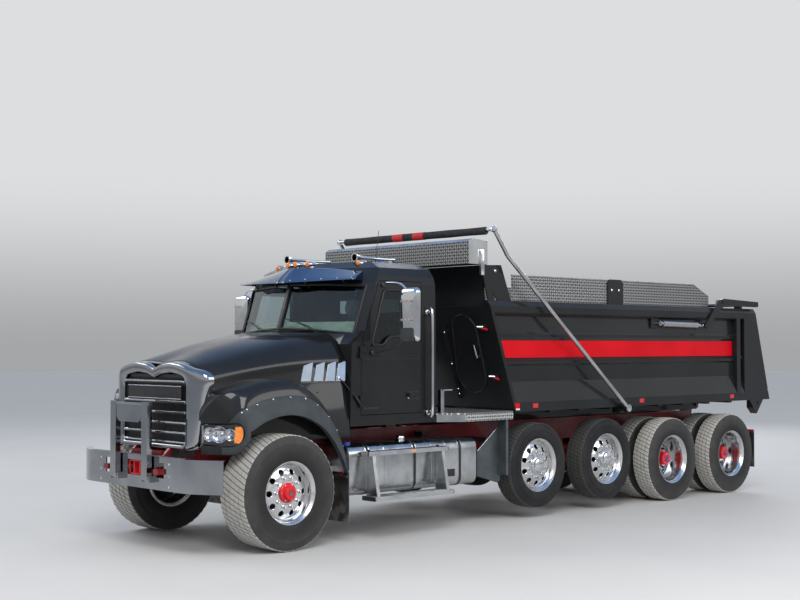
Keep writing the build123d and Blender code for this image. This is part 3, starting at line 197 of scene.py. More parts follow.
def clear(name, tint, rough=0.0):
    """Glass that lets the lamps' light through to what lies behind it."""
    look = Look(name)
    cloud = look.noise(look.vector, 2.0)
    look.give({"Base Color": look.mixed(cloud, tint, [min(1.0, t * 1.06) for t in tint]), "IOR": 1.45,
               "Roughness": look.spread(cloud, 0.4, 0.7, rough, rough + 0.004), "Transmission Weight": 1.0})
    lit = look.new("BsdfTransparent", inputs={"Color": (*(t ** 0.5 for t in tint), 1.0)})
    shadow = look.new("LightPath").outputs["Is Shadow Ray"]
    pick = look.new("MixShader", inputs={0: shadow, 1: look.bsdf.outputs[0], 2: lit.outputs[0]})
    look.put(pick.outputs[0], look.tree.nodes["Material Output"].inputs["Surface"])
    return look.mat


PAINT = surface("charcoal_paint", (0.0095, 0.010, 0.011), (0.014, 0.0145, 0.016), 0.0, (0.30, 0.38), 1.5, 0.5,
                bump=0.03, bump_scale=700, dust=(0.2, 1.3, 0.04), specular=0.1)
CHROME = surface("chrome", (0.56, 0.57, 0.59), (0.68, 0.69, 0.70), 1.0, (0.04, 0.09), 4.0, dust=(0.3, 1.0, 0.10))
# A darker copy of chrome for the bumper, guard and grille surround: painted dark reflection.
CHROME_PAINTED_DARK = surface("shaded_chrome", (0.26, 0.27, 0.285), (0.35, 0.36, 0.375), 1.0, (0.05, 0.11), 2.5,
                      dust=(0.3, 0.9, 0.06))
POLISHED = surface("polished_aluminium", (0.36, 0.37, 0.38), (0.52, 0.53, 0.535), 1.0, (0.15, 0.26), 5.0,
                   dust=(0.2, 0.9, 0.08))
WHEEL_METAL = surface("wheel_aluminium", (0.56, 0.56, 0.57), (0.68, 0.68, 0.68), 1.0, (0.18, 0.26), 5.0)
BRUSHED = surface("brushed_steel", (0.36, 0.37, 0.39), (0.50, 0.51, 0.53), 1.0, (0.25, 0.4), 30.0, stretch=(1, 8, 8))
# Chassis red, darker than the hub red: painted shade on the frame and running gear under the body; its dust is real.
RED = surface("chassis_red", (0.16, 0.004, 0.006), (0.24, 0.008, 0.010), 0.0, (0.35, 0.5), 6.0, 0.2,
              dust=(0.3, 0.9, 0.05))
BRIGHT_RED = surface("hub_red", (0.58, 0.008, 0.016), (0.70, 0.014, 0.022), 0.0, (0.3, 0.4), 6.0, 0.2, specular=0.3)
PAPER = surface("white_reflector", (0.72, 0.72, 0.70), (0.80, 0.80, 0.78), 0.0, (0.3, 0.4), 40.0, 0.3)
STRIPE = surface("stripe_red", (0.56, 0.003, 0.009), (0.65, 0.005, 0.014), 0.0, (0.35, 0.45), 2.0, 0.05, bump=0.02,
                 specular=0.1)
FLARE_MAT = surface("flare_plastic", (0.036, 0.043, 0.049), (0.050, 0.058, 0.064), 0.0, (0.55, 0.65), 6.0, bump=0.25,
                    bump_scale=420, dust=(0.3, 1.2, 0.06), specular=0.3)
BLACK = surface("black_rubber", (0.008, 0.008, 0.009), (0.018, 0.018, 0.019), 0.0, (0.45, 0.6), 8.0, bump=0.15,
                bump_scale=300, dust=(0.1, 0.7, 0.35))
TRIM = surface("black_trim", (0.007, 0.007, 0.008), (0.014, 0.014, 0.015), 0.0, (0.3, 0.42), 10.0, bump=0.08)
ENGINE = surface("engine_grey", (0.05, 0.05, 0.055), (0.12, 0.12, 0.12), 0.3, (0.5, 0.65), 12.0, bump=0.2)
SEAT = surface("seat_cloth", (0.012, 0.012, 0.014), (0.024, 0.024, 0.027), 0.0, (0.85, 0.95), 14.0, bump=0.2,
               bump_scale=300)
TARP = surface("tarp_fabric", (0.008, 0.008, 0.009), (0.022, 0.022, 0.024), 0.0, (0.7, 0.85), 18.0, bump=0.6,
               bump_scale=500)
STRAP = surface("red_strap", (0.50, 0.008, 0.012), (0.62, 0.014, 0.018), 0.0, (0.6, 0.7), 60.0, bump=0.4,
                bump_scale=700)
AMBER = surface("amber_lens", (0.80, 0.20, 0.008), (0.95, 0.30, 0.02), 0.0, (0.08, 0.16), 40.0, 0.8)
BLUE = surface("blue_cap", (0.01, 0.05, 0.32), (0.02, 0.09, 0.45), 0.0, (0.3, 0.4), 20.0)
RED_LENS = surface("red_reflector", (0.5, 0.008, 0.008), (0.65, 0.02, 0.02), 0.0, (0.1, 0.2), 40.0, 0.8)
MIRROR = surface("mirror_glass", (0.80, 0.81, 0.82), (0.86, 0.87, 0.88), 1.0, (0.01, 0.03), 3.0)
GLASS = clear("window_glass", (0.47, 0.58, 0.60))
LENS = clear("lamp_lens", (0.95, 0.96, 0.97), 0.01)
DASH = surface("dashboard_plastic", (0.30, 0.33, 0.24), (0.40, 0.43, 0.33), 0.0, (0.65, 0.8), 9.0, bump=0.2)
# The cab lining's dark colour is painted shade inside the cab.
LINING = surface("cab_lining_painted_shade", (0.012, 0.013, 0.015), (0.022, 0.023, 0.026), 0.0, (0.85, 0.95), 6.0, specular=0.1)
# The louvres' chrome is tinted blue in its colour: a painted sky reflection.
LOUVRE_SKY_TINT = surface("louvre_chrome_painted_sky", (0.50, 0.59, 0.70), (0.60, 0.69, 0.79), 1.0, (0.05, 0.10), 4.0)
PLATE_XZ = tread_plate("tread_plate_side", 0, 2)
# The deck's tread plate is a lighter copy of the same plate: painted light.
LIT_DECK_XZ = tread_plate("deck_plate_side_painted_light", 0, 2, bright=1.65)
LIT_DECK_XY = tread_plate("deck_plate_floor_painted_light", 0, 1, bright=1.65)
PLATE_YZ = tread_plate("tread_plate_front", 1, 2)
PLATE_XY = tread_plate("tread_plate_floor", 0, 1)


# Mesh building
class Shape:
    """Faces gathered in millimetres, each with its material; mirror adds each piece on both sides."""

    def __init__(self, name, mirror=False):
        self.name, self.mirror = name, mirror
        self.verts, self.faces, self.kinds, self.mats = [], [], [], []

    def add(self, verts, faces, mat, mirror=None):
        if mat not in self.mats:
            self.mats.append(mat)
        kind = self.mats.index(mat)
        sides = ((1, False), (-1, True)) if (self.mirror if mirror is None else mirror) else ((1, False),)
        for s, flip in sides:
            base = len(self.verts)
            self.verts += [(v[0], v[1] * s, v[2]) for v in verts]
            for f in faces:
                f = f[::-1] if flip else f
                self.faces.append([base + i for i in f])
                self.kinds.append(kind)
        return self

    def prism(self, points, way, mat, **kw):
        """A flat outline of (x, y, z) points carried along way."""
        n = len(points)
        points = [Vector(p) for p in points]
        way = Vector(way)
        area = Vector((0, 0, 0))
        for a, b in zip(points, points[1:] + points[:1]):
            area += a.cross(b)
        if area.dot(way) > 0:
            points = points[::-1]
        far = [p + way for p in points]
        faces = [list(range(n)), list(range(2 * n - 1, n - 1, -1))]
        for i in range(n):
            j = (i + 1) % n
            faces.append([j, i, n + i, n + j])
        return self.add(points + far, faces, mat, **kw)

    def box(self, x, y, z, mat, **kw):
        x, y, z = sorted(x), sorted(y), sorted(z)
        return self.prism([(x[0], y[0], z[0]), (x[1], y[0], z[0]), (x[1], y[1], z[0]), (x[0], y[1], z[0])],
                          (0, 0, z[1] - z[0]), mat, **kw)

    def side(self, points, y, mat, **kw):
        return self.prism([(x, y[0], z) for x, z in points], (0, y[1] - y[0], 0), mat, **kw)

    def front(self, points, x, mat, **kw):
        return self.prism([(x[0], y, z) for y, z in points], (x[1] - x[0], 0, 0), mat, **kw)

    def plan(self, points, z, mat, **kw):
        return self.prism([(x, y, z[0]) for x, y in points], (0, 0, z[1] - z[0]), mat, **kw)

    def rows(self, rows, mat, ring=False, loop=False, flip=False, **kw):
        """A skin over rows of points; ring closes each row, loop joins the last row to the first."""
        n = len(rows[0])
        verts = [p for row in rows for p in row]
        faces = []
        for i in range(len(rows) if loop else len(rows) - 1):
            k = (i + 1) % len(rows)
            for j in range(n if ring else n - 1):
                m = (j + 1) % n
                f = [i * n + j, i * n + m, k * n + m, k * n + j]
                faces.append(f[::-1] if flip else f)
        return self.add(verts, faces, mat, **kw)

    def caps(self, first, last, mat, **kw):
        """Closes a skin over its first row, turned over, and its last."""
        for row, way in ((first, -1), (last, 1)):
            self.add(row, [list(range(len(row)))[::way]], mat, **kw)
        return self

    def turned(self, profile, centre, axis, mat, n=32, **kw):
        """A profile of (radius, height) turned about an axis through centre."""
        axis = Vector(axis).normalized()
        u = axis.orthogonal().normalized()
        v = axis.cross(u)
        c = Vector(centre)
        rows = []
        for i in range(n):
            a = TAU * i / n
            d = u * math.cos(a) + v * math.sin(a)
            rows.append([c + d * r + axis * h for r, h in profile])
        return self.rows(rows, mat, loop=True, flip=True, **kw)

    def rod(self, a, b, r, mat, n=16, ease=0.0, **kw):
        """A round bar from a to b, with eased ends."""
        a, b = Vector(a), Vector(b)
        length = (b - a).length
        e = min(ease, r, length / 2)
        profile = [(0, 0), (r - e, 0), (r, e), (r, length - e), (r - e, length), (0, length)]
        if not e:
            profile = [(0, 0), (r, 0), (r, length), (0, length)]
        return self.turned(profile, a, b - a, mat, n, **kw)

    def tube(self, path, r, mat, n=12, **kw):
        """A round tube along a path of points."""
        path = [Vector(p) for p in path]
        rows = []
        u = None
        for i, p in enumerate(path):
            ahead = (path[min(i + 1, len(path) - 1)] - p)
            behind = (p - path[max(i - 1, 0)])
            way = (ahead.normalized() + behind.normalized()).normalized()
            u = way.orthogonal().normalized() if u is None else (u - way * u.dot(way)).normalized()
            v = way.cross(u)
            stretch = 1.0
            if 0 < i < len(path) - 1:
                stretch = 1 / max(0.5, way.dot(ahead.normalized()))
            bend = (ahead.normalized() - behind.normalized())
            bend = bend.normalized() if bend.length > 1e-6 else None
            ring = []
            for k in range(n):
                a = TAU * k / n
                d = u * math.cos(a) + v * math.sin(a)
                if bend is not None:
                    d = d + bend * d.dot(bend) * (stretch - 1)
                ring.append(p + d * r)
            rows.append(ring)
        self.rows(rows, mat, ring=True, **kw)
        return self.caps(rows[0], rows[-1], mat, **kw)

    def bolt(self, centre, way, r, mat, high=8, **kw):
        """A washer and a six-sided head."""
        c, w = Vector(centre), Vector(way).normalized()
        self.rod(c - w * 2, c + w * high * 0.25, r * 1.35, mat, 14, **kw)
        return self.turned([(0, 0), (r, 0), (r, high * 0.8), (r * 0.8, high), (0, high)], c, w, mat, 6, **kw)

    def mesh(self, origin, sharp):
        """Mesh data in metres about an origin in millimetres."""
        mesh = bpy.data.meshes.new(self.name)
        verts = [tuple((v - o) / 1000 for v, o in zip(p, origin)) for p in self.verts]
        mesh.from_pydata(verts, [], self.faces)
        for m in self.mats:
            mesh.materials.append(m)
        mesh.polygons.foreach_set("material_index", self.kinds)
        mesh.polygons.foreach_set("use_smooth", [True] * len(self.faces))
        mesh.set_sharp_from_angle(angle=math.radians(sharp))
        mesh.update()
        return mesh

    def done(self, body, bevel=0.0, sharp=SHARP):
        """Makes the object, in the row frame, riding on a body."""
        obj = linked(self.name, self.mesh((MIDDLE, 0, 0), sharp))
        if bevel:
            soften(obj, bevel, sharp)
        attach(obj, body)
        return obj


def linked(name, data):
    """A new object, put in the scene."""
    obj = bpy.data.objects.new(name, data)
    bpy.context.scene.collection.objects.link(obj)
    return obj


def soften(obj, width, sharp=SHARP):
    """Eases an object's sharp edges."""
    m = obj.modifiers.new("edges", "BEVEL")
    m.width = width / 1000
    m.segments = 2
    m.limit_method = "ANGLE"
    m.angle_limit = math.radians(sharp)
    m.harden_normals = True


def sheet(obj, thickness):
    """Gives a skin its thickness."""
    obj.modifiers.new("sheet", "SOLIDIFY").thickness = thickness


def finish_node(name, mat, bevel=2.5):
    """Shows a CAD node with a material and eased edges."""
    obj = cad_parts[name]
    obj.data.materials.clear()
    obj.data.materials.append(mat)
    if bevel:
        soften(obj, bevel)


def curve(points, steps=6):
    """Points along a smooth line through the given ones."""
    pts = [Vector(p) for p in points]
    pts = [pts[0] * 2 - pts[1]] + pts + [pts[-1] * 2 - pts[-2]]
    out = []
    for i in range(1, len(pts) - 2):
        p0, p1, p2, p3 = pts[i - 1:i + 3]
        for k in range(steps):
            t = k / steps
            out.append(0.5 * (2 * p1 + (p2 - p0) * t + (2 * p0 - 5 * p1 + 4 * p2 - p3) * t * t
                              + (3 * p1 - p0 - 3 * p2 + p3) * t ** 3))
    out.append(pts[-2])
    return out


def rounded(points, r, steps=4):
    """A closed outline with its corners rounded; points are 2-D."""
    out = []
    n = len(points)
    for i in range(n):
        a, b, c = Vector(points[i - 1]), Vector(points[i]), Vector(points[(i + 1) % n])
        d1, d2 = (a - b), (c - b)
        k = min(r, d1.length * 0.45, d2.length * 0.45)
        p, q = b + d1.normalized() * k, b + d2.normalized() * k
        for s in range(steps + 1):
            t = s / steps
            out.append(tuple((1 - t) ** 2 * p + 2 * t * (1 - t) * b + t * t * q))
    return out


# Wheels: the axles' x, the centre's z, radius, width, the tyre's middle y, and how the tread looks
KINDS = {
    "front": dict(axles=(0,), z=560, r=560, w=420, y=1010, grooves=4, notched=0.6, dusty=0.9),
    "lift": dict(axles=(-3634, -4886), z=603, r=488, w=280, y=1050, grooves=3, notched=0.3, dusty=0.10),
    "tandem": dict(axles=(-6187, -7519), z=525, r=525, w=280, y=1085, grooves=3, notched=0.6, dusty=1.0),
}
TWIN = 337  # from the outer tyre of a pair to the inner one
HUB_FACE, TWIN_FACE = 1150, 985  # the discs' y on single and twin wheels
HOLES, HOLE_CIRCLE, STUD_CIRCLE = 10, 205, 143
DISC_THICK = 16
AROUND = 132  # sections round a tyre
WHEEL_SHARP = 34
FLANGE = ((284, -16), (290, 4), (303, 13), (303, 19), (297, 19), (284, 8), (272, -4))


def tyre_rows(shape, spec, y, mat):
    """A tyre about the origin: bulged walls, jagged shoulders and zigzag grooves."""
    r, h = spec["r"], spec["w"] / 2
    wall = [(288, h - 40), (291, h - 28), (303, h - 16), (322, h - 12), (326, h - 9), (352, h - 4),
            ((r + 300) / 2, h - 1), (r - 92, h - 5), (r - 88, h - 3), (r - 70, h - 7), (r - 46, h - 13),
            (r - 30, h - 17)]
    edge = h - 30
    tread = [(0, -edge)]
    span = 2 * edge / (spec["grooves"] + 1)
    for g in range(spec["grooves"]):
        c = -edge + span * (g + 1)
        tread += [(0, c - 8), (14, c - 4), (14, c + 4), (0, c + 8)]
    tread += [(0, edge)]
    rows = []
    for i in range(AROUND):
        a = TAU * i / AROUND
        wave = 4 if (i // 2) % 2 else -4
        notch = 9 * spec["notched"] if i % 3 == 0 else 0
        line = [(q, -v) for q, v in wall] + [(r - 16 - notch, -edge - 7)]
        for k, (deep, v) in enumerate(tread):
            inner = 0 < k < len(tread) - 1
            crown = 5 * (abs(v) / edge) ** 2
            line.append((r - deep - crown - (0 if inner else notch), v + (wave if inner else 0)))
        line += [(r - 16 - notch, edge + 7)] + wall[::-1]
        rows.append([(q * math.cos(a), y + v, q * math.sin(a)) for q, v in line])
    shape.rows(rows, mat, loop=True)


def lathe_y(shape, profile, y, s, mat, n=60, inside=False):
    """A profile of (radius, outward height) turned about the wheel's axle."""
    rows = []
    for i in range(n):
        a = TAU * i / n
        rows.append([(r * math.cos(a), y + h * s, r * math.sin(a)) for r, h in profile])
    shape.rows(rows, mat, loop=True, flip=(s > 0) != inside)


def dished(s, top, sink, r0):
    """A disc's face: its height y at radius r, which drops by sink over 90 mm from r0."""
    def height(r):
        t = max(0.0, min(1.0, (r - r0) / 90))
        return s * (top - sink * t * t * (3 - 2 * t))

    return height


def disc(shape, height, hole_r, r_in, r_out, s):
    """A wheel disc with round hand holes: height(r) gives y; s is the outward side."""
    steps, half = 6, TAU / HOLES / 2
    near, far = HOLE_CIRCLE - 48, HOLE_CIRCLE + 48
    for k in range(HOLES):
        a0 = TAU * k / HOLES
        cx, cz = HOLE_CIRCLE * math.cos(a0), HOLE_CIRCLE * math.sin(a0)
        corners = ((far, a0 - half), (far, a0 + half), (near, a0 + half), (near, a0 - half))
        outer, ring, deep = [], [], []
        for (ra, aa), (rb, ab) in zip(corners, corners[1:] + corners[:1]):
            for t in range(steps):
                r, a = ra + (rb - ra) * t / steps, aa + (ab - aa) * t / steps
                x, z = r * math.cos(a), r * math.sin(a)
                d = math.atan2(z - cz, x - cx)
                outer.append((x, height(r), z))
                for target, rr, dy in ((ring, hole_r + 3, 0), (deep, hole_r, -3)):
                    hx, hz = cx + rr * math.cos(d), cz + rr * math.sin(d)
                    target.append((hx, height(math.hypot(hx, hz)) + dy * s, hz))
        inner, back = ([(x, y - DISC_THICK * s, z) for x, y, z in line] for line in (deep, outer))
        shape.rows([outer, ring, deep, inner, back], WHEEL_METAL, ring=True, flip=s < 0)
    for a, b in ((r_in, near), (far, r_out)):
        face = [(r, s * height(r)) for r in (a + (b - a) * t / 4 for t in range(5))]
        lathe_y(shape, face, 0, s, WHEEL_METAL)
        lathe_y(shape, face, -DISC_THICK * s, s, WHEEL_METAL, inside=True)


def studs(shape, circle, count, y, s, mat, r=15, high=34):
    """Nuts on a circle about the wheel's axle."""
    profile = [(r * 1.35, 0), (r * 1.35, 4), (r, 6), (r, high * 0.55), (r * 0.75, high * 0.9), (0, high)]
    for k in range(count):
        a = TAU * k / count
        shape.turned(profile, (circle * math.cos(a), y, circle * math.sin(a)), (0, s, 0), mat, 6)


def barrel(shape, w, y, s, well, inner):
    """The rim's barrel: its outer flange, the well behind it, and its inner end."""
    h = w / 2 - 34
    lathe_y(shape, [(r, h + d) for r, d in (*FLANGE, *well)] + [(r, d - h) for r, d in inner], y, s, WHEEL_METAL)


def single_rim(shape, kind, spec, s):
    """The rim of a front wheel, with a red hub, or of a lift wheel, with a chrome one."""
    face = HUB_FACE - spec["y"]
    y = s * face
    barrel(shape, spec["w"], 0, s, ((262, -30), (258, -60)),
           ((258, 20), (266, -6), (284, -10), (303, -13), (303, -19), (284, -16), (286, 0)))
    disc(shape, dished(s, face - 4, 30 if kind == "front" else 38, 172), 28, 84, 262, s)
    lathe_y(shape, [(256, -118), (90, -70)], y, s, TRIM, 40)
    lathe_y(shape, [(84, -18), (84, 0), (112, 2), (118, -4)], y, s, WHEEL_METAL)
    studs(shape, STUD_CIRCLE, HOLES, s * (face - 5), s, CHROME)
    if kind == "lift":
        lathe_y(shape, [(104, -12), (104, 10), (98, 16), (84, 20), (78, 40), (60, 50), (26, 53), (0, 54)], y, s,
                CHROME)
        return
    lathe_y(shape, [(96, -14), (96, 14), (90, 20), (70, 22), (66, 30)], y, s, BRIGHT_RED)
    lathe_y(shape, [(66, 26), (66, 52), (60, 60), (30, 62), (28, 58), (0, 58)], y, s, BRIGHT_RED)
    for k in range(6):
        a = TAU * k / 6
        shape.bolt((80 * math.cos(a), s * (face + 21), 80 * math.sin(a)), (0, s, 0), 6, CHROME, 6)
    lathe_y(shape, [(24, 56), (24, 63), (0, 64)], y, s, BLACK, 24)


def twin_rim(shape, spec, s):
    """A pair's two rims and the drive hub that stands out of the outer one."""
    face = TWIN_FACE - spec["y"]
    y = s * face
    for middle, way in ((0, s), (-TWIN * s, -s)):
        barrel(shape, spec["w"], middle, way, ((262, -28), (258, -86)), ((256, -10), (262, -30), (284, -18)))
    disc(shape, dished(s, face + 3, 26, 165), 26, 100, 255, s)
    studs(shape, STUD_CIRCLE, HOLES, s * (face + 2), s, TRIM, 15, 36)
    lathe_y(shape, [(108, -40), (108, 22), (102, 30), (84, 34), (80, 104), (88, 108), (88, 118), (82, 124), (40, 126),
                    (36, 132), (0, 132)], y, s, BRIGHT_RED)
    lathe_y(shape, [(254, -72), (110, -60)], y, s, TRIM, 40)
    studs(shape, 66, 8, s * (face + 124), s, CHROME, 7, 14)
    lathe_y(shape, [(26, 131), (26, 140), (0, 141)], y, s, BLUE, 20)


def put_wheel(kind, n, wheel_name, s):
    """Places a tyre and a rim at a wheel's centre, some a quarter turned, in place of the CAD nodes."""
    spec = KINDS[kind]
    body = f"wheel_{wheel_name}"
    for part, key in (("tyre", (kind, "tyre")), ("rim", (kind, "rim", s))):
        obj = linked(f"{part}_{wheel_name}.visual", meshes[key])
        obj.location = at(spec["axles"][n], spec["y"] * s, spec["z"])
        if part == "tyre" and s < 0:
            obj.rotation_euler = (0, 0, math.pi)
        obj.rotation_euler.rotate_axis("Y", math.pi / 2 * wheel_name.endswith(("1_left", "2_right")))
        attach(obj, body)
        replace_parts(obj, f"{part}_{wheel_name}")


meshes = {}
for kind, spec in KINDS.items():
    mat = rubber(f"tyre_{kind}_rubber", spec["r"] / 1000, spec["dusty"])
    tyre = Shape(f"tyre_{kind}")
    for y in (0, -TWIN) if kind == "tandem" else (0,):
        tyre_rows(tyre, spec, y, mat)
    meshes[kind, "tyre"] = tyre.mesh((0, 0, 0), WHEEL_SHARP)
    for s in (1, -1):
        rim = Shape(f"rim_{kind}_{s}")
        if kind == "tandem":
            twin_rim(rim, spec, s)
        else:
            single_rim(rim, kind, spec, s)
        meshes[kind, "rim", s] = rim.mesh((0, 0, 0), WHEEL_SHARP)
for side_name, s in SIDES:
    put_wheel("front", 0, f"front_{side_name}", s)
    for n in (0, 1):
        for kind in ("lift", "tandem"):
            put_wheel(kind, n, f"{kind}_{n + 1}_{side_name}", s)


# Hood: a smooth skin through cross-sections, with fenders standing out from its sides
HOOD_SECTIONS = (
    # x, then half-section points (y, z): crown, crown's edge, shoulder, then down the side
    (700, ((0, 1790), (330, 1808), (560, 1762), (636, 1655), (655, 1545), (680, 1400), (700, 1200), (715, 1040))),
    (300, ((0, 1935), (330, 1930), (610, 1855), (712, 1735), (726, 1620), (740, 1450), (760, 1220), (775, 1040))),
    (-100, ((0, 2035), (330, 2025), (668, 1950), (796, 1798), (806, 1680), (820, 1500), (840, 1250), (855, 1040))),
    (-500, ((0, 2100), (330, 2092), (708, 2034), (860, 1846), (878, 1720), (900, 1550), (940, 1300), (975, 1040))),
    (-870, ((0, 2118), (330, 2112), (735, 2082), (926, 1872), (955, 1740), (985, 1600), (1035, 1300), (1070, 1040))),
)


def hood_side(x, z):
    """How far out the hood's side is at (x, z)."""
    found = []
    for sx, points in HOOD_SECTIONS:
        y = points[-1][0]
        for (y0, z0), (y1, z1) in zip(points[2:], points[3:]):
            if z1 <= z <= z0:
                y = y0 + (y1 - y0) * (z0 - z) / (z0 - z1)
        found.append((sx, y))
    for (xa, ya), (xb, yb) in zip(found, found[1:]):
        if xb <= x <= xa:
            return ya + (yb - ya) * (xa - x) / (xa - xb)
    return found[0][1] if x > found[0][0] else found[-1][1]


hood = Shape("hood_skin")
lines = [curve([(x, *points[j]) for x, points in HOOD_SECTIONS]) for j in range(8)]
rows = []
for section in zip(*lines):
    half = curve(section, 5)
    half[0] = Vector((half[0].x, 0, half[0].z))
    rows.append([Vector((p.x, -p.y, p.z)) for p in half[:0:-1]] + half)
hood.rows(rows, PAINT)
ARCH, ARCH_R = Vector((0, 560)), 741
FENDER = (
    # crest (x, y, z), then the skin's lower edge at the lamp or the flare (x, y, z)
    ((728, 745, 1262), (731, 772, 1243)),
    ((722, 782, 1328), (704, 815, 1243)),
    ((698, 826, 1395), (672, 862, 1243)),
    ((660, 878, 1459), (634, 920, 1243)),
    ((600, 938, 1508), (590, 985, 1243)),
    ((520, 976, 1537), (552, 1050, 1248)),
    ((440, 1002, 1560), (520, 1102, 1290)),
    ((350, 1020, 1588), (455, 1118, 1362)),
    ((255, 1032, 1613), (360, 1119, 1410)),
    ((165, 1040, 1623), (250, 1119, 1440)),
    ((75, 1046, 1628), (100, 1119, 1466)),
    ((-20, 1052, 1626), (-20, 1119, 1475)),
    ((-111, 1060, 1613), (-130, 1119, 1470)),
    ((-203, 1072, 1582), (-230, 1119, 1456)),
    ((-285, 1088, 1535), (-315, 1119, 1432)),
    ((-370, 1106, 1470), (-392, 1119, 1388)),
    ((-440, 1116, 1404), (-455, 1119, 1343)),
    ((-515, 1118, 1312), (-520, 1119, 1284)),
    ((-599, 1118, 1200), (-600, 1119, 1184)),
    ((-660, 1118, 1090), (-655, 1119, 1079)),
)
fender = Shape("hood_fenders", mirror=True)
crests, edges = (curve(line, 3) for line in zip(*FENDER))
rows = []
for c, e in zip(crests, edges):
    z_top = c.z + 8
    t = Vector((min(c.x - 12, 700), hood_side(min(c.x, 700), z_top) - 8, z_top))
    row = [t.lerp(c, k) + Vector((0, 0, -20 * k * (1 - k))) for k in (0, 0.25, 0.5, 0.75, 0.93)]
    brow = c.lerp(e, 0.72)
    brow.z = c.z + (e.z - c.z) * 0.26
    for k in (0.0, 0.06, 0.14, 0.26, 0.42, 0.6, 0.8, 1.0):
        row.append((1 - k) ** 2 * c + 2 * k * (1 - k) * brow + k * k * e)
    way = Vector((e.x, e.z)) - ARCH
    if e.y > 1110:
        way = ARCH + way.normalized() * ARCH_R
        low = Vector((way.x, 1120, way.y))
    else:
        low = e + Vector((-14, -8, -6))
    row += [e.lerp(low, 0.5), low]
    rows.append(row)
fender.rows(rows, PAINT, flip=True)
for shape, thickness, sharp in ((hood, 0.012, SHARP), (fender, 0.010, 60)):
    obj = shape.done("hood", sharp=sharp)
    sheet(obj, thickness)
    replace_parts(obj, "hood")

# Hood fittings: side vents with four chrome louvres, rubber latches, mounting studs
fit = Shape("hood_fittings", mirror=True)


def on_hood(x, z, out):
    """The point at (x, z) that stands out from the hood's side."""
    return (x, hood_side(x, z) + out, z)


# A dark plate behind the louvres; the strip of it left showing in front of and below them is painted shadow, and each
# louvre's black end wall is painted shade under its raised edge.
recess = ((-378, 1592), (-424, 1768), (-468, 1812), (-900, 1827), (-860, 1600))
fit.prism([on_hood(x, z, -4) for x, z in recess], (0, 8, 0), TRIM)
for x0, x1 in ((-384, -483), (-527, -616), (-655, -742), (-772, -856)):
    rise = (x0 - x1) * 0.36
    low, high = 1612, 1768 + (-384 - x0) * 0.045
    pts = [on_hood(x0, low, 6), on_hood(x1, low, 26), on_hood(x1 - 44, high + rise, 24), on_hood(x0 - 46, high, 6)]
    fit.prism(pts, (0, -3, 0), LOUVRE_SKY_TINT)
    fit.prism([pts[1], pts[2], on_hood(x1 - 50, high + rise, 6), on_hood(x1 - 6, low, 6)], (3, 0, 0), TRIM)
latch_top = Vector(on_hood(-840, 1600, 16))
fit.tube([on_hood(-800, 1640, 4), latch_top, (-944, 1062, 1448), (-1005, 1062, 1372)], 9, TRIM, 8)
fit.tube([(-930, 1066, 1462), (-1004, 1068, 1376)], 15, TRIM, 8)
fit.turned([(0, 0), (19, 0), (21, 5), (17, 15), (0, 19)], on_hood(-800, 1640, 0), OUT, CHROME, 16)
for x, z in ((470, 1560), (-560, 1500)):
    fit.turned([(0, 0), (9, 0), (8, 5), (0, 6)], on_hood(x, z, 0), OUT, TRIM, 10)
fit.done("hood", 1.0)

# Flares: plastic bands with a folded edge and screws; each runs on round the lamp's outer end.
# A form has (how far across the band, how proud of it).
FLARE_FORM = ((0, -12), (0, 3), (0.03, 8), (0.10, 9), (0.15, 14), (0.45, 14), (0.80, 8), (0.94, 2), (1.0, -3),
              (1.0, -20), (1.0, -60))
RING_FORM = ((0, -24), (0, 0), (0.06, 7), (0.3, 9), (0.75, 7), (0.94, 2), (1.0, -4), (1.0, -40))


def band(a, b, n, form):
    """A section from its edge a to its edge b, with n the way it faces."""
    return [a.lerp(b, f) + n * d for f, d in form]


OUTWARD = Vector((0, 1, 0))
LAMP_OUT = Vector((0.84, 0.54, 0))
FLARE = (
    # outer edge (x, y, z), inner edge (x, y, z), how much it faces as the lamp does
    ((585, 1008, 1243), (584, 1010, 1240), 1.0),
    ((566, 1056, 1292), (553, 1056, 1238), 1.0),
    ((548, 1100, 1340), (526, 1094, 1230), 0.8),
    ((500, 1122, 1370), (502, 1132, 1190), 0.5),
    ((406, 1127, 1408), (463, 1186, 1162), 0.2),
    ((237, 1127, 1455), (290, 1188, 1247), 0.0),
    ((34, 1127, 1482), (70, 1188, 1300), 0.0),
    ((-174, 1127, 1475), (-130, 1188, 1292), 0.0),
    ((-326, 1127, 1436), (-270, 1188, 1250), 0.0),
    ((-480, 1127, 1329), (-412, 1188, 1174), 0.0),
    ((-599, 1127, 1193), (-530, 1188, 1062), 0.0),
    ((-683, 1127, 1047), (-622, 1188, 940), 0.0),
    ((-752, 1127, 860), (-694, 1188, 808), 0.0),
    ((-770, 1127, 702), (-745, 1180, 702), 0.0),
)
RING = (
    # edge at the lamp (x, y, z), edge at the wheel opening or below (x, y, z)
    ((502, 1132, 1190), (463, 1186, 1162)),
    ((494, 1143, 1137), (465, 1186, 1112)),
    ((505, 1126, 1085), (481, 1163, 1060)),
    ((524, 1098, 1050), (502, 1132, 1012)),
    ((552, 1053, 1027), (530, 1088, 962)),
    ((585, 1003, 1018), (572, 1024, 944)),
    ((621, 946, 1016), (621, 948, 942)),
)
flare = Shape("flares.visual", mirror=True)
outs, ins, turns = (curve(line, 5) for line in zip(*((o, i, (t, 0, 0)) for o, i, t in FLARE)))
main = [band(o, i, OUTWARD.lerp(LAMP_OUT, t.x), FLARE_FORM) for o, i, t in zip(outs, ins, turns)]
ring = [band(a, b, OUTWARD.lerp(LAMP_OUT, min(1, 0.3 + n / 10)), RING_FORM)
        for n, (a, b) in enumerate(zip(*(curve(line, 4) for line in zip(*RING))))]
for rows in (main, ring):
    flare.rows(rows, FLARE_MAT, flip=True)
    flare.caps(rows[-1], rows[0], FLARE_MAT)
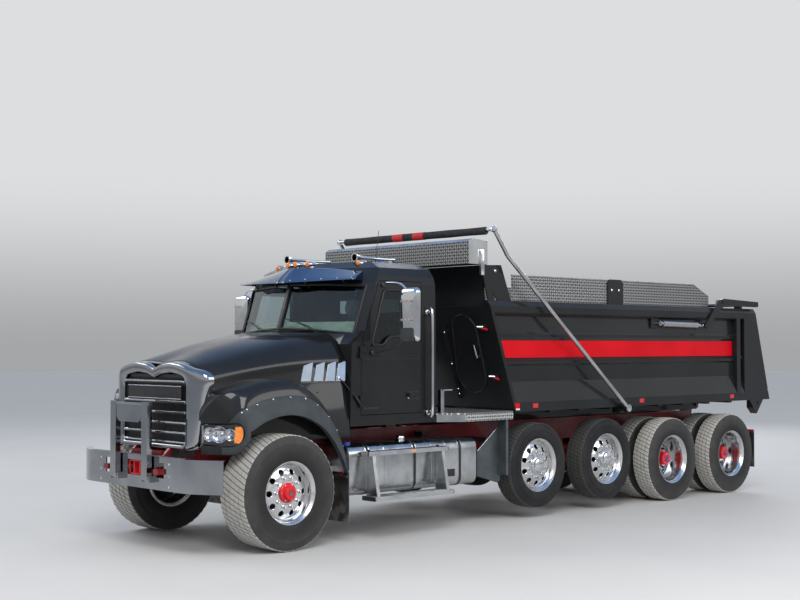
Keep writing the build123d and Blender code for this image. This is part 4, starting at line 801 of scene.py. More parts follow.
for i in range(12, len(outs) - 4, 5):
    p = outs[i].lerp(ins[i], 0.07)
    flare.turned([(0, 0), (9, 0), (9, 3), (6, 6), (0, 7)], (p.x, 1136, p.z), OUT, CHROME, 12)
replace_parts(flare.done("hood", sharp=42), "flares")

# Grille: chrome surround, in the darker chrome with painted dark reflection, whose cheeks bend back, barred opening,
# blank plate; outlines are half ones of (y, z)
SURROUND = [(0, 1751), (140, 1795), (300, 1812), (480, 1790), (620, 1748), (740, 1722), (785, 1690), (790, 1630),
            (755, 1450), (720, 1160), (685, 970), (0, 970)]
OPENING = [(0, 1653), (120, 1690), (300, 1706), (500, 1675), (550, 1600), (550, 1020), (0, 1020)]
GRILLE_FACE, GRILLE_MIDDLE = 782, 1370  # x of the surround's face, z of the middle that its section is swept about
SWEEP = [TAU * i / 180 for i in range(180)]


def edge_at(outline, angle):
    """How far out a half outline is from the grille's middle, at an angle from straight up."""
    dy, dz = abs(math.sin(angle)), math.cos(angle)
    best = 0
    for (y0, z0), (y1, z1) in zip(outline, outline[1:]):
        ey, ez, az = y1 - y0, z1 - z0, z0 - GRILLE_MIDDLE
        det = dz * ey - dy * ez
        if abs(det) < 1e-9:
            continue
        t, u = (az * ey - y0 * ez) / det, (dy * az - dz * y0) / det
        if t > 0 and -1e-6 <= u <= 1 + 1e-6:
            best = max(best, t)
    return best


def reach(outline):
    """The outline's reach all round, with each value twice eased towards its neighbours."""
    values = [edge_at(outline, a) for a in SWEEP]
    for _ in range(2):
        values = [0.25 * values[i - 1] + 0.5 * v + 0.25 * values[(i + 1) % len(values)] for i, v in enumerate(values)]
    return values


grille = Shape("grille.visual")
rows = []
for a, big, small in zip(SWEEP, reach(SURROUND), reach(OPENING)):
    row = []
    for f, x in ((1.0, -92), (1.0, -46), (0.975, -26), (0.93, -12), (0.84, -4), (0.66, 0), (0.42, 0), (0.2, -4),
                 (0.08, -12), (0.02, -22), (0, -34), (0, -56)):
        r = small + (big - small) * f
        y, z = math.sin(a) * r, GRILLE_MIDDLE + math.cos(a) * r
        row.append((GRILLE_FACE + x - max(0, abs(y) - 590) * 0.46, y, z))
    rows.append(row)
grille.rows(rows, CHROME_PAINTED_DARK, loop=True, flip=True)
# Each bar is black with a chrome upper front; its black lower part is painted shade on what is a chrome bar.
for z, h in ((1620, 34), (1425, 34), (1322, 34), (1222, 34), (1127, 34), (1036, 30)):
    wide = 548 if z < 1610 else 530
    top = z + h / 2
    grille.box((738, 757), (-wide - 6, wide + 6), (z - h / 2, top), TRIM)
    grille.prism([(757, -wide, top - 2), (764, -wide, top - 7), (764, -wide, z - 2), (757, -wide, z - 6)],
                 (0, 2 * wide, 0), CHROME)
    for s in (1, -1):
        grille.rod((750, s * (wide - 14), z), (766, s * (wide - 14), z), 11, CHROME, 14, ease=3)
for x, y, z, mat in (((738, 760), 470, (1452, 1578), TRIM), ((757, 765), 474, (1572, 1580), CHROME),
                     ((757, 765), 474, (1450, 1458), CHROME), ((722, 728), 553, (1018, 1690), TRIM)):
    grille.box(x, (-y, y), z, mat)
for k in range(-17, 18):
    grille.box((724, 733), (k * 31 - 2, k * 31 + 2), (1020, 1660), TRIM)
for s in (1, -1):
    grille.side([(724, 985), (775, 985), (886, 874), (860, 832), (830, 860)], (s * 275, s * 315), RED)
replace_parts(grille.done("hood", 1.0, sharp=38), "grille")

# Headlamps: round bowls and an amber marker in a dark housing, under one clear lens
LAMP_A, LAMP_B = Vector((735, 770, 0)), Vector((510, 1118, 0))
ALONG = (LAMP_B - LAMP_A).normalized()
FACING = Vector((ALONG.y, -ALONG.x, 0))
LAMP_LONG = (LAMP_B - LAMP_A).length
# Outlines of (how far along the lamp, z)
LAMP_OUTLINE = ((0.0, 1046), (0.0, 1222), (0.90, 1230), (1.0, 1216), (1.04, 1180), (1.045, 1135), (1.01, 1072),
                (0.90, 1032), (0.5, 1024))
STRIP = ((0.0, 1052), (0.05, 1052), (0.05, 1216), (0.0, 1216))
MARKER = ((0.80, 1060), (0.83, 1208), (0.97, 1210), (1.015, 1180), (1.02, 1135), (0.985, 1078), (0.92, 1052))


def lamp(t, depth, z):
    """The point at t along the lamp, depth in front of its face."""
    p = LAMP_A + ALONG * (LAMP_LONG * t) + FACING * depth
    return (p.x, p.y, z)


lamps = Shape("headlamps.visual", mirror=True)
lamps.prism([lamp(0, 0, 942), lamp(0.52, 0, 942), lamp(0.52, -34, 942), lamp(0, -80, 942)], (0, 0, 84), TRIM)
rim = []
for t, z in LAMP_OUTLINE:
    t_in, z_in = t + (0.45 - t) * 0.02, z + (1130 - z) * 0.05
    rim.append((lamp(t, -30, z), lamp(t, 5, z), lamp(t_in, 5, z_in), lamp(t_in, -30, z_in)))
lamps.rows(rim, TRIM, ring=True, loop=True, flip=True)
for t, r in ((0.21, 62), (0.44, 74), (0.70, 52)):
    c = Vector(lamp(t, -4, 1132))
    bowl = [(r + 6, -2), (r + 5, 4), (r, 5), (r - 3, 0), (r * 0.8, -12), (r * 0.5, -22), (14, -27)]
    lamps.turned(bowl, c, FACING, CHROME, 36)
    lamps.turned([(14, -27), (13, -8), (8, -3), (0, -2)], c, FACING, CHROME, 16)
for outline, depth, thick, mat in ((LAMP_OUTLINE, -34, -6, TRIM), (STRIP, -26, 18, CHROME), (MARKER, -28, 26, AMBER),
                                   (LAMP_OUTLINE, 3, 3, LENS)):
    lamps.prism([lamp(t, depth, z) for t, z in outline], FACING * thick, mat)
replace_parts(lamps.done("hood", 0.8), "headlamps")

# Bumper and guard: darker chrome, its darkness painted dark reflection; a tread-plate top, bolts, and red frames in
# the bumper's mouths
finish_node("bumper", CHROME_PAINTED_DARK, 5)
finish_node("grille_guard", CHROME_PAINTED_DARK, 3)
extra = Shape("bumper_fittings", mirror=True)
extra.box((920, 978), (0, 800), (915, 918), PLATE_XY)
for z in (640, 740, 850):
    extra.bolt((980, 610, z), (1, 0, 0), 11, CHROME, 9)
for z in ((717, 735), (847, 865)):
    extra.box((955, 962), (-120, 120), z, BRIGHT_RED, mirror=False)
extra.box((955, 962), (100, 120), (717, 865), BRIGHT_RED)
extra.box((900, 950), (40, 62), (730, 855), BRIGHT_RED)
extra.done("chassis", 1.5)

# Cab: CAD shell with trim
finish_node("cab_shell", PAINT, 9)
finish_node("cab_glass", GLASS, 0)
finish_node("cab_interior", SEAT, 4)
for side_name, s in SIDES:
    finish_node(f"door_{side_name}", PAINT, 4)
    finish_node(f"door_glass_{side_name}", GLASS, 0)
    door = Shape(f"door_trim_{side_name}")
    window = rounded([(-1175, 1972), (-1340, 2522), (-1368, 2548), (-1788, 2548), (-1788, 2062), (-1420, 2062),
                      (-1335, 1972)], 46)
    path = [(x, s * 1049, z) for x, z in window]
    door.tube(path + path[:2], 12, TRIM, 8)
    door.side(rounded([(-1842, 1398), (-1842, 1492), (-1676, 1492), (-1676, 1398)], 16), (s * 1049, s * 1053), TRIM)
    handle = ((-1832, 1054, 1452), (-1824, 1078, 1455), (-1706, 1078, 1455), (-1698, 1054, 1452))
    door.tube([(x, s * y, z) for x, y, z in handle], 9, PAINT, 10)
    door.turned([(0, 0), (12, 0), (12, 5), (0, 6)], (-1690, s * 1052, 1424), (0, s, 0), CHROME, 16)
    door.side(rounded([(-1268, 1318), (-1268, 1336), (-1062, 1336), (-1062, 1318)], 6, 2), (s * 1049, s * 1052), TRIM)
    door.box((-1873, -1046), (s * 1049, s * 1052), (1828, 1833), TRIM)
    door.done(f"door_{side_name}", 1)
trim = Shape("cab_trim")
WINDSCREEN = ((13, 2148), (480, 2130), (950, 2092), (962, 2590), (480, 2612), (13, 2618))
# Sections of (x, y) at z 2120 and z 2620
SCREEN_LOW = ((-770, 0), (-860, 420), (-975, 880), (-1080, 1050))
SCREEN_HIGH = ((-935, 0), (-1010, 420), (-1130, 880), (-1240, 1040))


def screen(y, z):
    """The windscreen's plane: x at (y, z), from the cab's plan sections."""
    def x_of(line):
        for (xa, ya), (xb, yb) in zip(line, line[1:]):
            if abs(y) <= yb:
                return xa + (xb - xa) * (abs(y) - ya) / (yb - ya)
        return line[-1][0]

    t = (z - 2120) / 500
    lower, upper = x_of(SCREEN_LOW), x_of(SCREEN_HIGH)
    return lower * (1 - t) + upper * t


for s in (1, -1):
    loop = []
    for (ya, za), (yb, zb) in zip(WINDSCREEN, WINDSCREEN[1:] + WINDSCREEN[:1]):
        for k in range(5):
            y, z = ya + (yb - ya) * k / 5, za + (zb - za) * k / 5
            loop.append((screen(y, z) + 1, s * y, z))
    trim.tube(loop + loop[:2], 13, TRIM, 8)
for y0, z0, y1, z1, y2, z2 in ((560, 2092, 420, 2168, 250, 2215), (-330, 2096, -470, 2162, -640, 2200)):
    wiper = ((y0, z0, 22), (y1, z1, 16), (y2, z2, 12))
    trim.tube([(screen(y, z) + out, y, z) for y, z, out in wiper], 6, TRIM, 6)
    trim.tube([(screen(y1, z1 - 30) + 12, y1 + 60, z1 - 40), (screen(y2, z2) + 8, y2, z2),
               (screen(y2 - 160, z2 + 60) + 8, y2 - 190, z2 + 40)], 5, TRIM, 6)
    trim.turned([(0, 0), (16, 0), (16, 24), (10, 30), (0, 30)], (screen(y0, z0) - 4, y0, z0), (0.94, 0, 0.34),
                TRIM, 14)
dash = Shape("dash_pad")
rows = []
for y in (-925, -700, -440, -220, 0, 220, 440, 700, 925):
    x = screen(y, 2120) - 75
    pad = ((x - 20, 1945), (x, 2100), (x - 25, 2170), (x - 90, 2218), (-1200, 2222), (-1230, 2195), (-1225, 2130),
           (-1170, 1945))
    rows.append([(a, y, z) for a, z in pad])
dash.rows(rows, DASH, ring=True, flip=True)
dash.caps(rows[-1], rows[0], DASH)
dash.done("chassis", 12)
# A dark lining on the inside of the cab's rear wall, round the rear window; its darkness is painted shade.
lining = Shape("cab_lining_painted_shade", mirror=True)
for y, z in ((0, (2496, 2650)), (0, (1500, 2056)), (534, (2056, 2496))):
    lining.box((-2050, -2044), (y, 985), z, LINING)
lining.done("chassis")
GRAB = ((-1985, 1038, 1258), (-1985, 1090, 1270), (-1985, 1115, 1320), (-1985, 1115, 2270), (-1985, 1090, 2312),
        (-1985, 1030, 2326))
for s in (1, -1):
    trim.tube(curve([(x, y * s, z) for x, y, z in GRAB], 4), 18, CHROME, 14)
    for z, y in ((1258, 1050), (2326, 1040)):
        trim.turned([(0, 0), (30, 0), (30, 6), (22, 10), (0, 10)], (-1985, s * y, z), (0, s, 0), CHROME, 18)
trim.tube([(-1470, 780, 2790), (-1478, 792, 2990), (-1500, 800, 3190)], 3, TRIM, 6)
trim.turned([(0, 0), (16, 0), (12, 24), (5, 40), (0, 42)], (-1470, 780, 2770), UP, TRIM, 12)
trim.done("chassis")

# Visor, horns and roof lamps
visor = Shape("visor.visual", mirror=True)
# The visor's metal is tinted grey-blue in its colour: a painted sky reflection.
VISOR_SKY_TINT = surface("visor_metal_painted_sky", (0.13, 0.17, 0.24), (0.17, 0.21, 0.28), 1.0, (0.07, 0.12), 3.0)
lip = curve([(-786, 0, 2634), (-850, 330, 2640), (-918, 690, 2646), (-996, 988, 2650)], 5)
back = curve([(-954, 0, 2803), (-1070, 300, 2792), (-1205, 600, 2780), (-1316, 800, 2768)], 5)
rows = []
for a, b in zip(lip, back):
    inside = Vector((-16, 0, 0))
    row = [a + inside + Vector((0, 0, 4)), a + inside * 0.4, a]
    row += [a.lerp(b, k) + Vector((0, 0, 32 * k * (1 - k) + 3)) for k in (0.06, 0.25, 0.5, 0.75, 0.95, 1.0)]
    rows.append(row)
visor.rows(rows, VISOR_SKY_TINT, flip=True)
below = Vector((0, -2, 0))
visor.prism([lip[-1] + below, back[-1] + below, (-1316, 800, 2700), (-1150, 930, 2640)], (0, -3, 0), VISOR_SKY_TINT)
for i in range(2, 15, 3):
    p = lip[i].lerp(back[i], 0.12)
    visor.turned([(0, 0), (7, 0), (6, 5), (0, 6)], (p.x, p.y, p.z + 3), (0.6, 0, 0.8), CHROME, 10)
for t in (4, 11):
    p = lip[t]
    visor.tube([(p.x - 160, p.y, p.z - 60), (p.x - 110, p.y, p.z - 10), (p.x - 60, p.y, p.z + 24)], 8, TRIM, 8)
for y, z, x0, x1 in ((600, 2905, -1910, -1330), (-450, 2925, -1880, -1250)):
    long = x1 - x0
    visor.turned([(0, 0), (46, 0), (48, 4), (42, 10), (26, 60), (18, 120), (15, 200), (14, long - 60),
                  (20, long - 40), (20, long), (0, long)], (x1, y, z), (-1, 0, 0), CHROME, 28, mirror=False)
    visor.turned([(0, 2), (38, 2), (30, 14), (0, 16)], (x1 + 2, y, z), (-1, 0, 0), TRIM, 24, mirror=False)
    for x in (x1 - 70, x0 + 60):
        for dx, dy, rise in ((14, 10, (2795, z - 10)), (30, 28, (2828, 2838))):
            visor.box((x - dx, x + dx), (y - dy, y + dy), rise, CHROME, mirror=False)
visor.turned([(0, 0), (34, 0), (34, 30), (24, 44), (24, 96), (0, 100)], (-1960, 300, 2846), UP, BLUE, 20,
             mirror=False)
obj = visor.done("chassis")
sheet(obj, 0.003)
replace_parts(obj, "visor")
lights = Shape("roof_lamps.visual")
for x, y in ((-1000, 0), (-1035, 165), (-1035, -165), (-1300, 690), (-1300, -690)):
    lights.turned([(0, 0), (26, 0), (32, 8), (34, 24), (33, 60), (28, 100), (16, 140), (0, 158)], (x - 6, y, 2842),
                  (-1, 0, -0.04), CHROME, 24)
    lights.turned([(30, 0), (26, 10), (14, 15), (0, 16)], (x - 8, y, 2842), (1, 0, 0), AMBER, 24)
    lights.plan(rounded([(x - 120, y - 24), (x - 30, y - 24), (x - 30, y + 24), (x - 120, y + 24)], 18), (2760, 2826),
                CHROME)
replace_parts(lights.done("chassis", 1), "roof_lamps")

# Mirrors
MIRROR_Y, MIRROR_Z = 1425, 2282
for side_name, s in SIDES:
    m = Shape(f"mirror_{side_name}.visual")
    head = rounded([(1300, 2006), (1294, 2530), (1325, 2558), (1525, 2558), (1556, 2530), (1550, 2006)], 46, 6)

    def section(x, wide, high):
        """The head's outline at x, drawn in towards its middle."""
        return [(x, s * (MIRROR_Y + (y - MIRROR_Y) * wide), MIRROR_Z + (z - MIRROR_Z) * high) for y, z in head]

    m.rows([section(x, f, f) for x, f in ((-1392, 0.93), (-1387, 0.985), (-1372, 1.0), (-1356, 0.99), (-1342, 0.95),
                                          (-1330, 0.86), (-1323, 0.7), (-1320, 0.45), (-1320, 0.01))],
           CHROME, ring=True, flip=s > 0)
    m.prism(section(-1389, 0.9, 0.93), (-2, 0, 0), MIRROR)
    m.prism(section(-1390, 0.95, 0.965), (3, 0, 0), TRIM)
    foot = rounded([(1330, 2012), (1330, 2150), (1520, 2150), (1520, 2012)], 30, 3)
    m.front([(s * y, z) for y, z in foot], (-1330, -1315), FLARE_MAT)
    for z in (2230, 2420):
        pod = ((-95, 0), (-60, 14), (60, 14), (95, 0), (60, -10), (-60, -10))
        m.prism([(-1322, s * (MIRROR_Y + dy), z + dz) for dy, dz in pod], (16, 0, 0), CHROME)
        for y in (1460, 1410):
            m.rod((-1316, s * y, z + 1), (-1302, s * y, z + 1), 9, AMBER, 12, ease=3)
    for arm, mat in ((((-1180, 1050, 1896), (-1210, 1090, 1900), (-1290, 1290, 1960), (-1325, 1370, 2040)), TRIM),
                     (((-1340, 1036, 2602), (-1342, 1090, 2618), (-1346, 1280, 2606), (-1350, 1380, 2550)), CHROME)):
        m.tube(curve([(x, s * y, z) for x, y, z in arm], 5), 12, mat, 12)
    for x, y, z in ((-1180, 1048, 1896), (-1340, 1036, 2600)):
        m.rod((x, s * y, z), (x, s * (y + 30), z), 28, TRIM, 16, ease=8)
    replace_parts(m.done(f"door_{side_name}", sharp=40), f"mirror_{side_name}")

# Fuel tank and exhaust box: the same form on either side
TANK_Y, TANK_Z = (500, 1095), (450, 965)
STRAP_Y, STRAP_Z = 797, 707  # what the straps and seams are widened about


def tank_ring(corner):
    """The tank's section, with rounded corners."""
    (y0, y1), (z0, z1) = TANK_Y, TANK_Z
    return rounded([(y0, z0), (y1, z0), (y1, z1), (y0, z1)], corner, 6)


def tank_rows(shape, x0, x1, corner, s=1):
    """A tank from x0 to x1 with eased ends, on side s."""
    cy, cz = sum(TANK_Y) / 2, sum(TANK_Z) / 2
    near = ((x0, 0.0), (x0, 0.9), (x0 + 3, 0.97), (x0 + 12, 1.0))
    far = ((x1 - 12, 1.0), (x1 - 3, 0.97), (x1, 0.9), (x1, 0.0))
    rows = []
    for x, f in near + far:
        rows.append([(x, s * (cy + (a - cy) * f), cz + (b - cz) * f) for a, b in tank_ring(corner)])
    shape.rows(rows, POLISHED, ring=True, flip=s < 0)


def girth(x, wide, high):
    """A line round the tank at x, a little outside it."""
    return [(x, STRAP_Y + (a - STRAP_Y) * wide, STRAP_Z + (b - STRAP_Z) * high) for a, b in tank_ring(120)]


tank = Shape("fuel_tank.visual")
tank_rows(tank, -2690, -820, 120)
for x in (-1080, -1740, -2420):
    strap = [girth(x + dx, 1.004, 1.006) for dx in (-22, 22)]
    for line in strap:
        tank.tube(line + line[:2], 4, POLISHED, 6)
    tank.rows(strap, TRIM, ring=True, flip=True)
for x in (-1310, -1990, -2200):
    line = girth(x, 1.001, 1.001)
    tank.tube(line + line[:2], 3, POLISHED, 6)
tank.turned([(0, 0), (48, 0), (52, 6), (52, 44), (46, 52), (0, 54)], (-1712, 900, 962), UP, CHROME, 28)
tank.turned([(0, 0), (40, 0), (42, 4), (42, 26), (0, 30)], (-909, 960, 962), UP, BLUE, 24)
for x in (-1100, -2400):
    tank.box((x - 30, x + 30), (430, 560), (438, 1010), TRIM)
tank.box((-822, -818), (960, 1010), (640, 700), RED_LENS)
tank.box((-2340, -2220), (1094, 1100), (560, 640), TRIM)
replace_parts(tank.done("chassis", sharp=40), "fuel_tank")
exhaust = Shape("exhaust_box.visual")
tank_rows(exhaust, -2200, -820, 70, s=-1)
for x in (-1100, -1950):
    exhaust.box((x - 30, x + 30), (-430, -560), (438, 1010), TRIM)
for k in range(14):
    exhaust.box((-1750 + k * 46, -1726 + k * 46), (-1093, -1098), (600, 860), TRIM)
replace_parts(exhaust.done("chassis", sharp=40), "exhaust_box")

# Steps and deck
steps = Shape("steps_and_deck.visual", mirror=True)
STEP_IN = 1100  # y of the steps' inner edge
for z, y_out, x0, x1 in ((900, 1222, -2130, -980), (450, 1300, -2130, -1000)):
    steps.box((x0, x1), (y_out - 8, y_out), (z - 45, z), POLISHED)
    steps.box((x0, x1), (STEP_IN, STEP_IN + 8), (z - 40, z - 2), POLISHED)
    for x in (x0, x1 - 8):
        steps.box((x, x + 8), (STEP_IN, y_out), (z - 45, z), POLISHED)
    steps.box((x0 + 8, x1 - 8), (STEP_IN + 8, y_out - 8), (z - 12, z - 8), TRIM)
    for k in range(int((x1 - x0) / 26)):
        x = x0 + 14 + k * 26
        steps.prism([(x + dx, STEP_IN + 8, z + dz) for dx, dz in ((0, -8), (14, -8), (10, -1), (4, -1))],
                    (0, y_out - STEP_IN - 16, 0), POLISHED)
for x in (-1060, -2050):
    steps.front([(1098, 905), (1205, 862), (1285, 420), (1130, 405), (1098, 440)], (x - 4, x + 4), POLISHED)
    steps.front([(1098, 905), (1205, 862), (1212, 872), (1110, 912)], (x - 22, x + 22), POLISHED)
    steps.front([(1285, 420), (1205, 862), (1212, 862), (1293, 424)], (x - 22, x + 22), POLISHED)
steps.box((-1640, -1580), (1221, 1226), (868, 888), AMBER)
DECK_EDGE = ((-2122, 0), (-2122, 1040), (-2390, 1220), (-3150, 1220), (-3150, 0))
# The deck takes the lighter copy of the tread plate, which is painted light.
steps.plan(DECK_EDGE, (1226, 1240), LIT_DECK_XY)
steps.side([(-3150, 1146), (-2390, 1146), (-2390, 1226), (-3150, 1226)], (1214, 1220), LIT_DECK_XZ)
steps.prism([(-2122, 1036, 1146), (-2390, 1216, 1146), (-2390, 1220, 1146), (-2122, 1040, 1146)], (0, 0, 80),
            POLISHED)
steps.box((-2130, -2122), (0, 1040), (1146, 1226), POLISHED)
for x0, x1 in ((-3100, -3060), (-2200, -2160)):
    steps.box((x0, x1), (350, 418), (1070, 1226), TRIM)
steps.box((-2245, -2165), (985, 1065), (1240, 1250), POLISHED, mirror=False)
steps.box((-2230, -2180), (1000, 1048), (1250, 1495), POLISHED, mirror=False)
steps.tube([(-2205, 1050, 1486), (-2222, 1058, 1488), (-2340, 1058, 1488)], 9, POLISHED, 10, mirror=False)
for x, y in ((-2190, 1040), (-2190, 1010), (-2222, 1040)):
    steps.bolt((x, y, 1250), UP, 7, CHROME, 6, mirror=False)
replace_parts(steps.done("chassis", 1.2), "steps_and_deck")

# Splash guards, with a sheet between the cab and the first lift wheel
GUARD_METAL = surface("guard_sheet", (0.07, 0.082, 0.09), (0.10, 0.115, 0.125), 0.6, (0.42, 0.55), 6.0, bump=0.1)
finish_node("splash_guards", BLACK, 2)
quarter = Shape("quarter_guard", mirror=True)
quarter.side([(-2712, 806), (-3080, 1084), (-3080, 462), (-3042, 443), (-2712, 532)], (1076, 1080), GUARD_METAL)
quarter.tube([(-2712, 1078, 806), (-3082, 1078, 1084)], 7, POLISHED, 8)
quarter.box((-3086, -3048), (1080, 1203), (528, 1144), GUARD_METAL)
quarter.done("chassis", 1)

# Dump body, gate and levers: CAD shapes in paint, with a stripe, a bead, a handle, latches, bolts and reflectors
finish_node("dump_body", PAINT, 5)
finish_node("tailgate", PAINT, 4)
finish_node("gate_levers", PAINT, 3)
BODY_LOW, BODY_TOP = (-3193, 1224), (-2757, 2469)


def front_x(z):
    """The x of the dump body's leaning front edge at height z."""
    return BODY_LOW[0] + (z - BODY_LOW[1]) / (BODY_TOP[1] - BODY_LOW[1]) * (BODY_TOP[0] - BODY_LOW[0])


more = Shape("body_fittings", mirror=True)
STRIPE_Z, STRIPE_END = (1832, 2026), -7652
stripe = [(front_x(z) - 30, z) for z in STRIPE_Z] + [(STRIPE_END, z) for z in STRIPE_Z[::-1]]
more.side(stripe, (1140, 1143), STRIPE)
lean_way = Vector((BODY_TOP[0] - BODY_LOW[0], 0, BODY_TOP[1] - BODY_LOW[1])).normalized()
wall_out = Vector((lean_way.z, 0, -lean_way.x))


def on_wall(y, z, proud=0):
    """A point on the leaning front wall, standing proud of it."""
    return Vector((front_x(z), y, z)) + wall_out * proud


bead = []
for plate_y, plate_z, r, first in ((750, 2140, 182, 0), (690, 1660, 222, 180)):
    for a in range(first, first + 181, 12):
        a = math.radians(a)
        bead.append(on_wall(plate_y + r * math.cos(a), plate_z + r * math.sin(a), 16))
more.tube(bead + bead[:2], 7, TRIM, 8)
more.tube([on_wall(880, z, proud) for z, proud in ((1985, 12), (1985, 52), (1850, 52), (1850, 12))], 8, CHROME, 10)
for z in (2180, 1625):
    base = on_wall(1040, z, 4)
    for mat, ends in ((CHROME, ((-75, 0, 12), (20, 0, 16))), (STRIPE, ((10, -14, 20), (80, -22, 28)))):
        more.tube([base + Vector((0, dy, dz)) + wall_out * proud for dy, dz, proud in ends], 12, mat, 10)
    plate = ((-40, -40), (60, -40), (60, 34), (-40, 34))
    more.prism([base + Vector((0, dy, dz)) for dy, dz in plate], wall_out * 8, TRIM)
for z in (1410, 1470, 1760, 2120):
    more.turned([(0, 0), (12, 0), (12, 4), (8, 8), (0, 9)], (on_wall(440, z).x + 32, 440, z), OUT, CHROME, 10)
more.side([(-3190, 1262), (-3210, 1262), (-3258, 1262), (-3258, 1322), (-3176, 1322)], (1220.5, 1222), STRIPE)
more.side([(-3196, 1245), (-3258, 1245), (-3258, 1262), (-3190, 1262)], (1220.5, 1222), PAPER)
for x in (-3480, -5480, -7480):
    more.side([(x, 1262), (x - 90, 1262), (x - 90, 1312), (x, 1312)], (1220.5, 1224), RED_LENS)
more.done("dump_body")

# Side boards and tarp housing
boards = Shape("side_boards.visual", mirror=True)
for outline, y, mat in (
    (((-3205, 2471), (-3205, 2770), (-6750, 2770), (-7100, 2620), (-7100, 2471)), (1141, 1147), PLATE_XZ),
    (((-3205, 2755), (-3205, 2770), (-6752, 2770), (-7100, 2622), (-7092, 2608), (-6748, 2755)), (1139, 1152),
     POLISHED),
    (((-3178, 2470), (-3014, 2869), (-2770, 2859), (-2757, 2700), (-2950, 2470)), (1153, 1167), PAINT),
    (((-5232, 2470), (-5232, 2735), (-5192, 2775), (-4978, 2775), (-4938, 2735), (-4938, 2470)), (1152, 1165), PAINT),
):
    boards.side(outline, y, mat)
for x, y, z, r in ((-2920, 1167, 2800, 13), (-5013, 1165, 2645, 12), (-5151, 1165, 2645, 12)):
    boards.bolt((x, y, z), OUT, r, CHROME, 9)
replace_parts(boards.done("dump_body", 1.5), "side_boards")
house = Shape("tarp_housing.visual")
for outline, y, mat in (
    (((-2452, 2862), (-2452, 3106), (-2458, 3106), (-2458, 2862)), 1212, PLATE_YZ),
    (((-2450, 3100), (-2512, 3138), (-2740, 3118), (-2740, 3112), (-2512, 3130), (-2456, 3098)), 1214, POLISHED),
    (((-2735, 2862), (-2735, 3116), (-2740, 3116), (-2740, 2862)), 1212, POLISHED),
):
    house.side(outline, (-y, y), mat)
for s in (1, -1):
    house.side([(-2450, 2860), (-2450, 3103), (-2511, 3139), (-2740, 3119), (-2740, 2860)], (s * 1208, s * 1217),
               CHROME)
    house.turned([(0, 0), (24, 0), (26, 5), (26, 277), (24, 282), (0, 282)], (-2640, s * 1230, 2740), UP, CHROME, 24)
    house.side([(-2640, 2920), (-2740, 2920), (-2900, 2409), (-2800, 2409)], (s * 1172, s * 1190), PAINT)
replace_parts(house.done("dump_body", 1.5), "tarp_housing")

# Tarp arms with the roll and straps
arms = Shape("tarp_arms.visual", mirror=True)
ARM_PIVOT, ARM_TIP = (-5140, 1300, 1210), (-2756, 1300, 3247)
ROLL = (-2756, 0, 3237)
elbow = curve([(-3060, 1300, 2895), (-2980, 1300, 2960), (-2930, 1300, 3025)], 4)
arms.tube([ARM_PIVOT, *elbow, ARM_TIP], 24, POLISHED, 16)
arms.turned([(21, -40), (54, -40), (54, 14), (21, 14)], ARM_PIVOT, OUT, TRIM, 28)
arms.turned([(0, 0), (44, 0), (46, 4), (44, 10), (0, 12)], (-5140, 1314, 1210), OUT, CHROME, 24)
arms.turned([(0, -24), (32, -24), (34, -18), (34, 18), (30, 24), (0, 26)], ARM_TIP, OUT, CHROME, 24)
arms.rod((-2756, 0, 3247), ARM_TIP, 19, POLISHED, 16)
arms.turned([(0, 0), (42, 0), (44, 6), (42, 300), (44, 600), (41, 900), (44, 1174), (40, 1180), (0, 1180)], ROLL, OUT,
            TARP, 28)
for y0, y1 in ((-305, -132), (38, 215)):
    arms.turned([(44.6, y0), (45, y0 + 4), (45, y1 - 4), (44.6, y1)], ROLL, OUT, STRAP, 28, mirror=False)
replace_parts(arms.done("tarp_arms", sharp=40), "tarp_arms")

# Running gear and hydraulics keep their CAD shapes
# The frame, axles and knuckles take the darker chassis red, whose darkness is painted shade.
for name, mat in (("frame", RED), ("engine", ENGINE), ("front_axle", RED), ("lift_axles", RED), ("tandem_axles", RED),
                  ("knuckle_left", RED), ("knuckle_right", RED), ("gate_cylinder_barrels", BRUSHED),
                  ("gate_cylinder_rods", CHROME), ("hoist_barrel", TRIM), ("hoist_stage_1", BRUSHED),
                  ("hoist_stage_2", BRUSHED), ("hoist_stage_3", CHROME)):
    finish_node(name, mat)

# Camera, matched to the photograph
cam_data = bpy.data.cameras.new("camera")
cam_data.sensor_width = 36
cam_data.lens = 59.87
cam_data.clip_end = 200
cam = linked("camera", cam_data)
yaw, pitch = math.radians(-133.178), math.radians(1.937)
look = Vector((math.cos(yaw) * math.cos(pitch), math.sin(yaw) * math.cos(pitch), math.sin(pitch)))
cam.location = (11.6695, 11.223, 1.975)
cam.rotation_mode = "QUATERNION"
cam.rotation_quaternion = look.to_track_quat("-Z", "Y")
bpy.context.scene.camera = cam

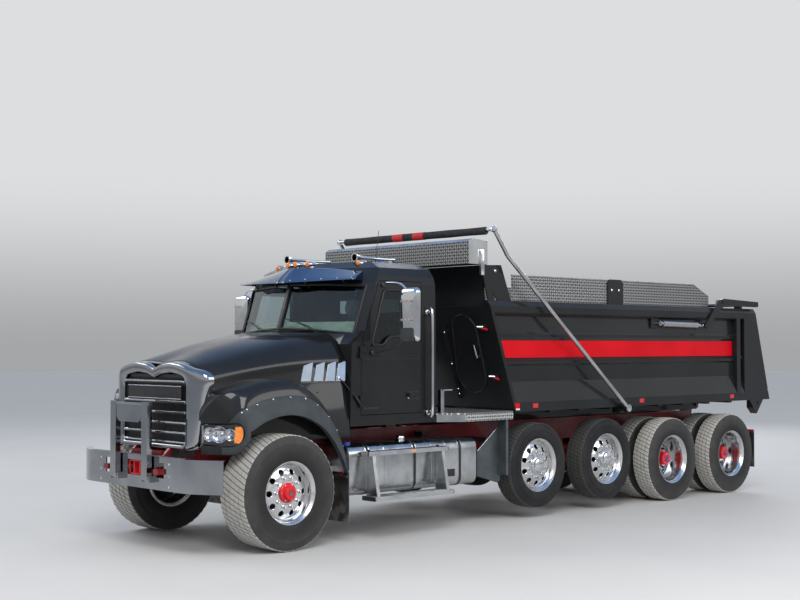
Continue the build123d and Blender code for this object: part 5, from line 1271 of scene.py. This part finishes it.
# Floor and lamps
floor_mat = surface("floor", (0.62, 0.62, 0.62), (0.64, 0.64, 0.635), 0.0, (0.6, 0.7), 0.6, bump=0.05, bump_scale=40)
floor_mesh = bpy.data.meshes.new("floor")
HALF, FLOOR_Z = 80, -0.001
corners = [(x * HALF, y * HALF, FLOOR_Z) for x, y in ((-1, -1), (1, -1), (1, 1), (-1, 1))]
floor_mesh.from_pydata(corners, [], [(0, 1, 2, 3)])
floor_mesh.materials.append(floor_mat)
floor = linked("floor", floor_mesh)
for name, place, aim, size, watts, colour in (
    ("key", (9, 9, 10), (0, 0, 1.2), (6, 6), 1000, (1.0, 0.97, 0.93)),
    ("side", (-3, 14, 7), (-1, 0, 1.2), (12, 5), 700, (1, 1, 1)),
    ("front", (8, -12, 11), (2, 0, 1.2), (6, 6), 520, (1, 1, 1)),
    ("rear", (-13, -9, 8), (-1, 0, 1.2), (8, 6), 500, (1, 1, 1)),
):
    data = bpy.data.lights.new(name, "AREA")
    data.shape = "RECTANGLE"
    data.size, data.size_y = size
    data.energy = watts
    data.color = colour
    obj = linked(name, data)
    obj.location = place
    obj.rotation_euler = (Vector(aim) - Vector(place)).to_track_quat("-Z", "Y").to_euler()

# World: camera, mirrors and glass see the backdrop, and all other rays a soft grey
world = bpy.data.worlds.new("studio")
bpy.context.scene.world = world
world.use_nodes = True
sky = Nodes(world.node_tree)
up = sky.xyz(sky.new("TexCoord").outputs["Generated"])[2]
soft = sky.fade(up, -0.1, 0.4, (0.40, 0.40, 0.40), (0.56, 0.58, 0.61))
sweep = sky.fade(up, -0.01, 0.13, (0.37, 0.38, 0.39), (0.72, 0.73, 0.74))
backdrop = sky.fade(up, 0.26, 0.75, sweep, (0.26, 0.44, 0.78))
rays = sky.new("LightPath").outputs
seen = sky.maths("MAXIMUM", rays["Is Camera Ray"],
                 sky.maths("MAXIMUM", rays["Is Glossy Ray"], rays["Is Transmission Ray"]))
background = sky.tree.nodes["Background"]
sky.put(sky.mixed(seen, soft, backdrop), background.inputs["Color"])
background.inputs["Strength"].default_value = 1.0
bpy.context.scene.view_settings.view_transform = "Standard"
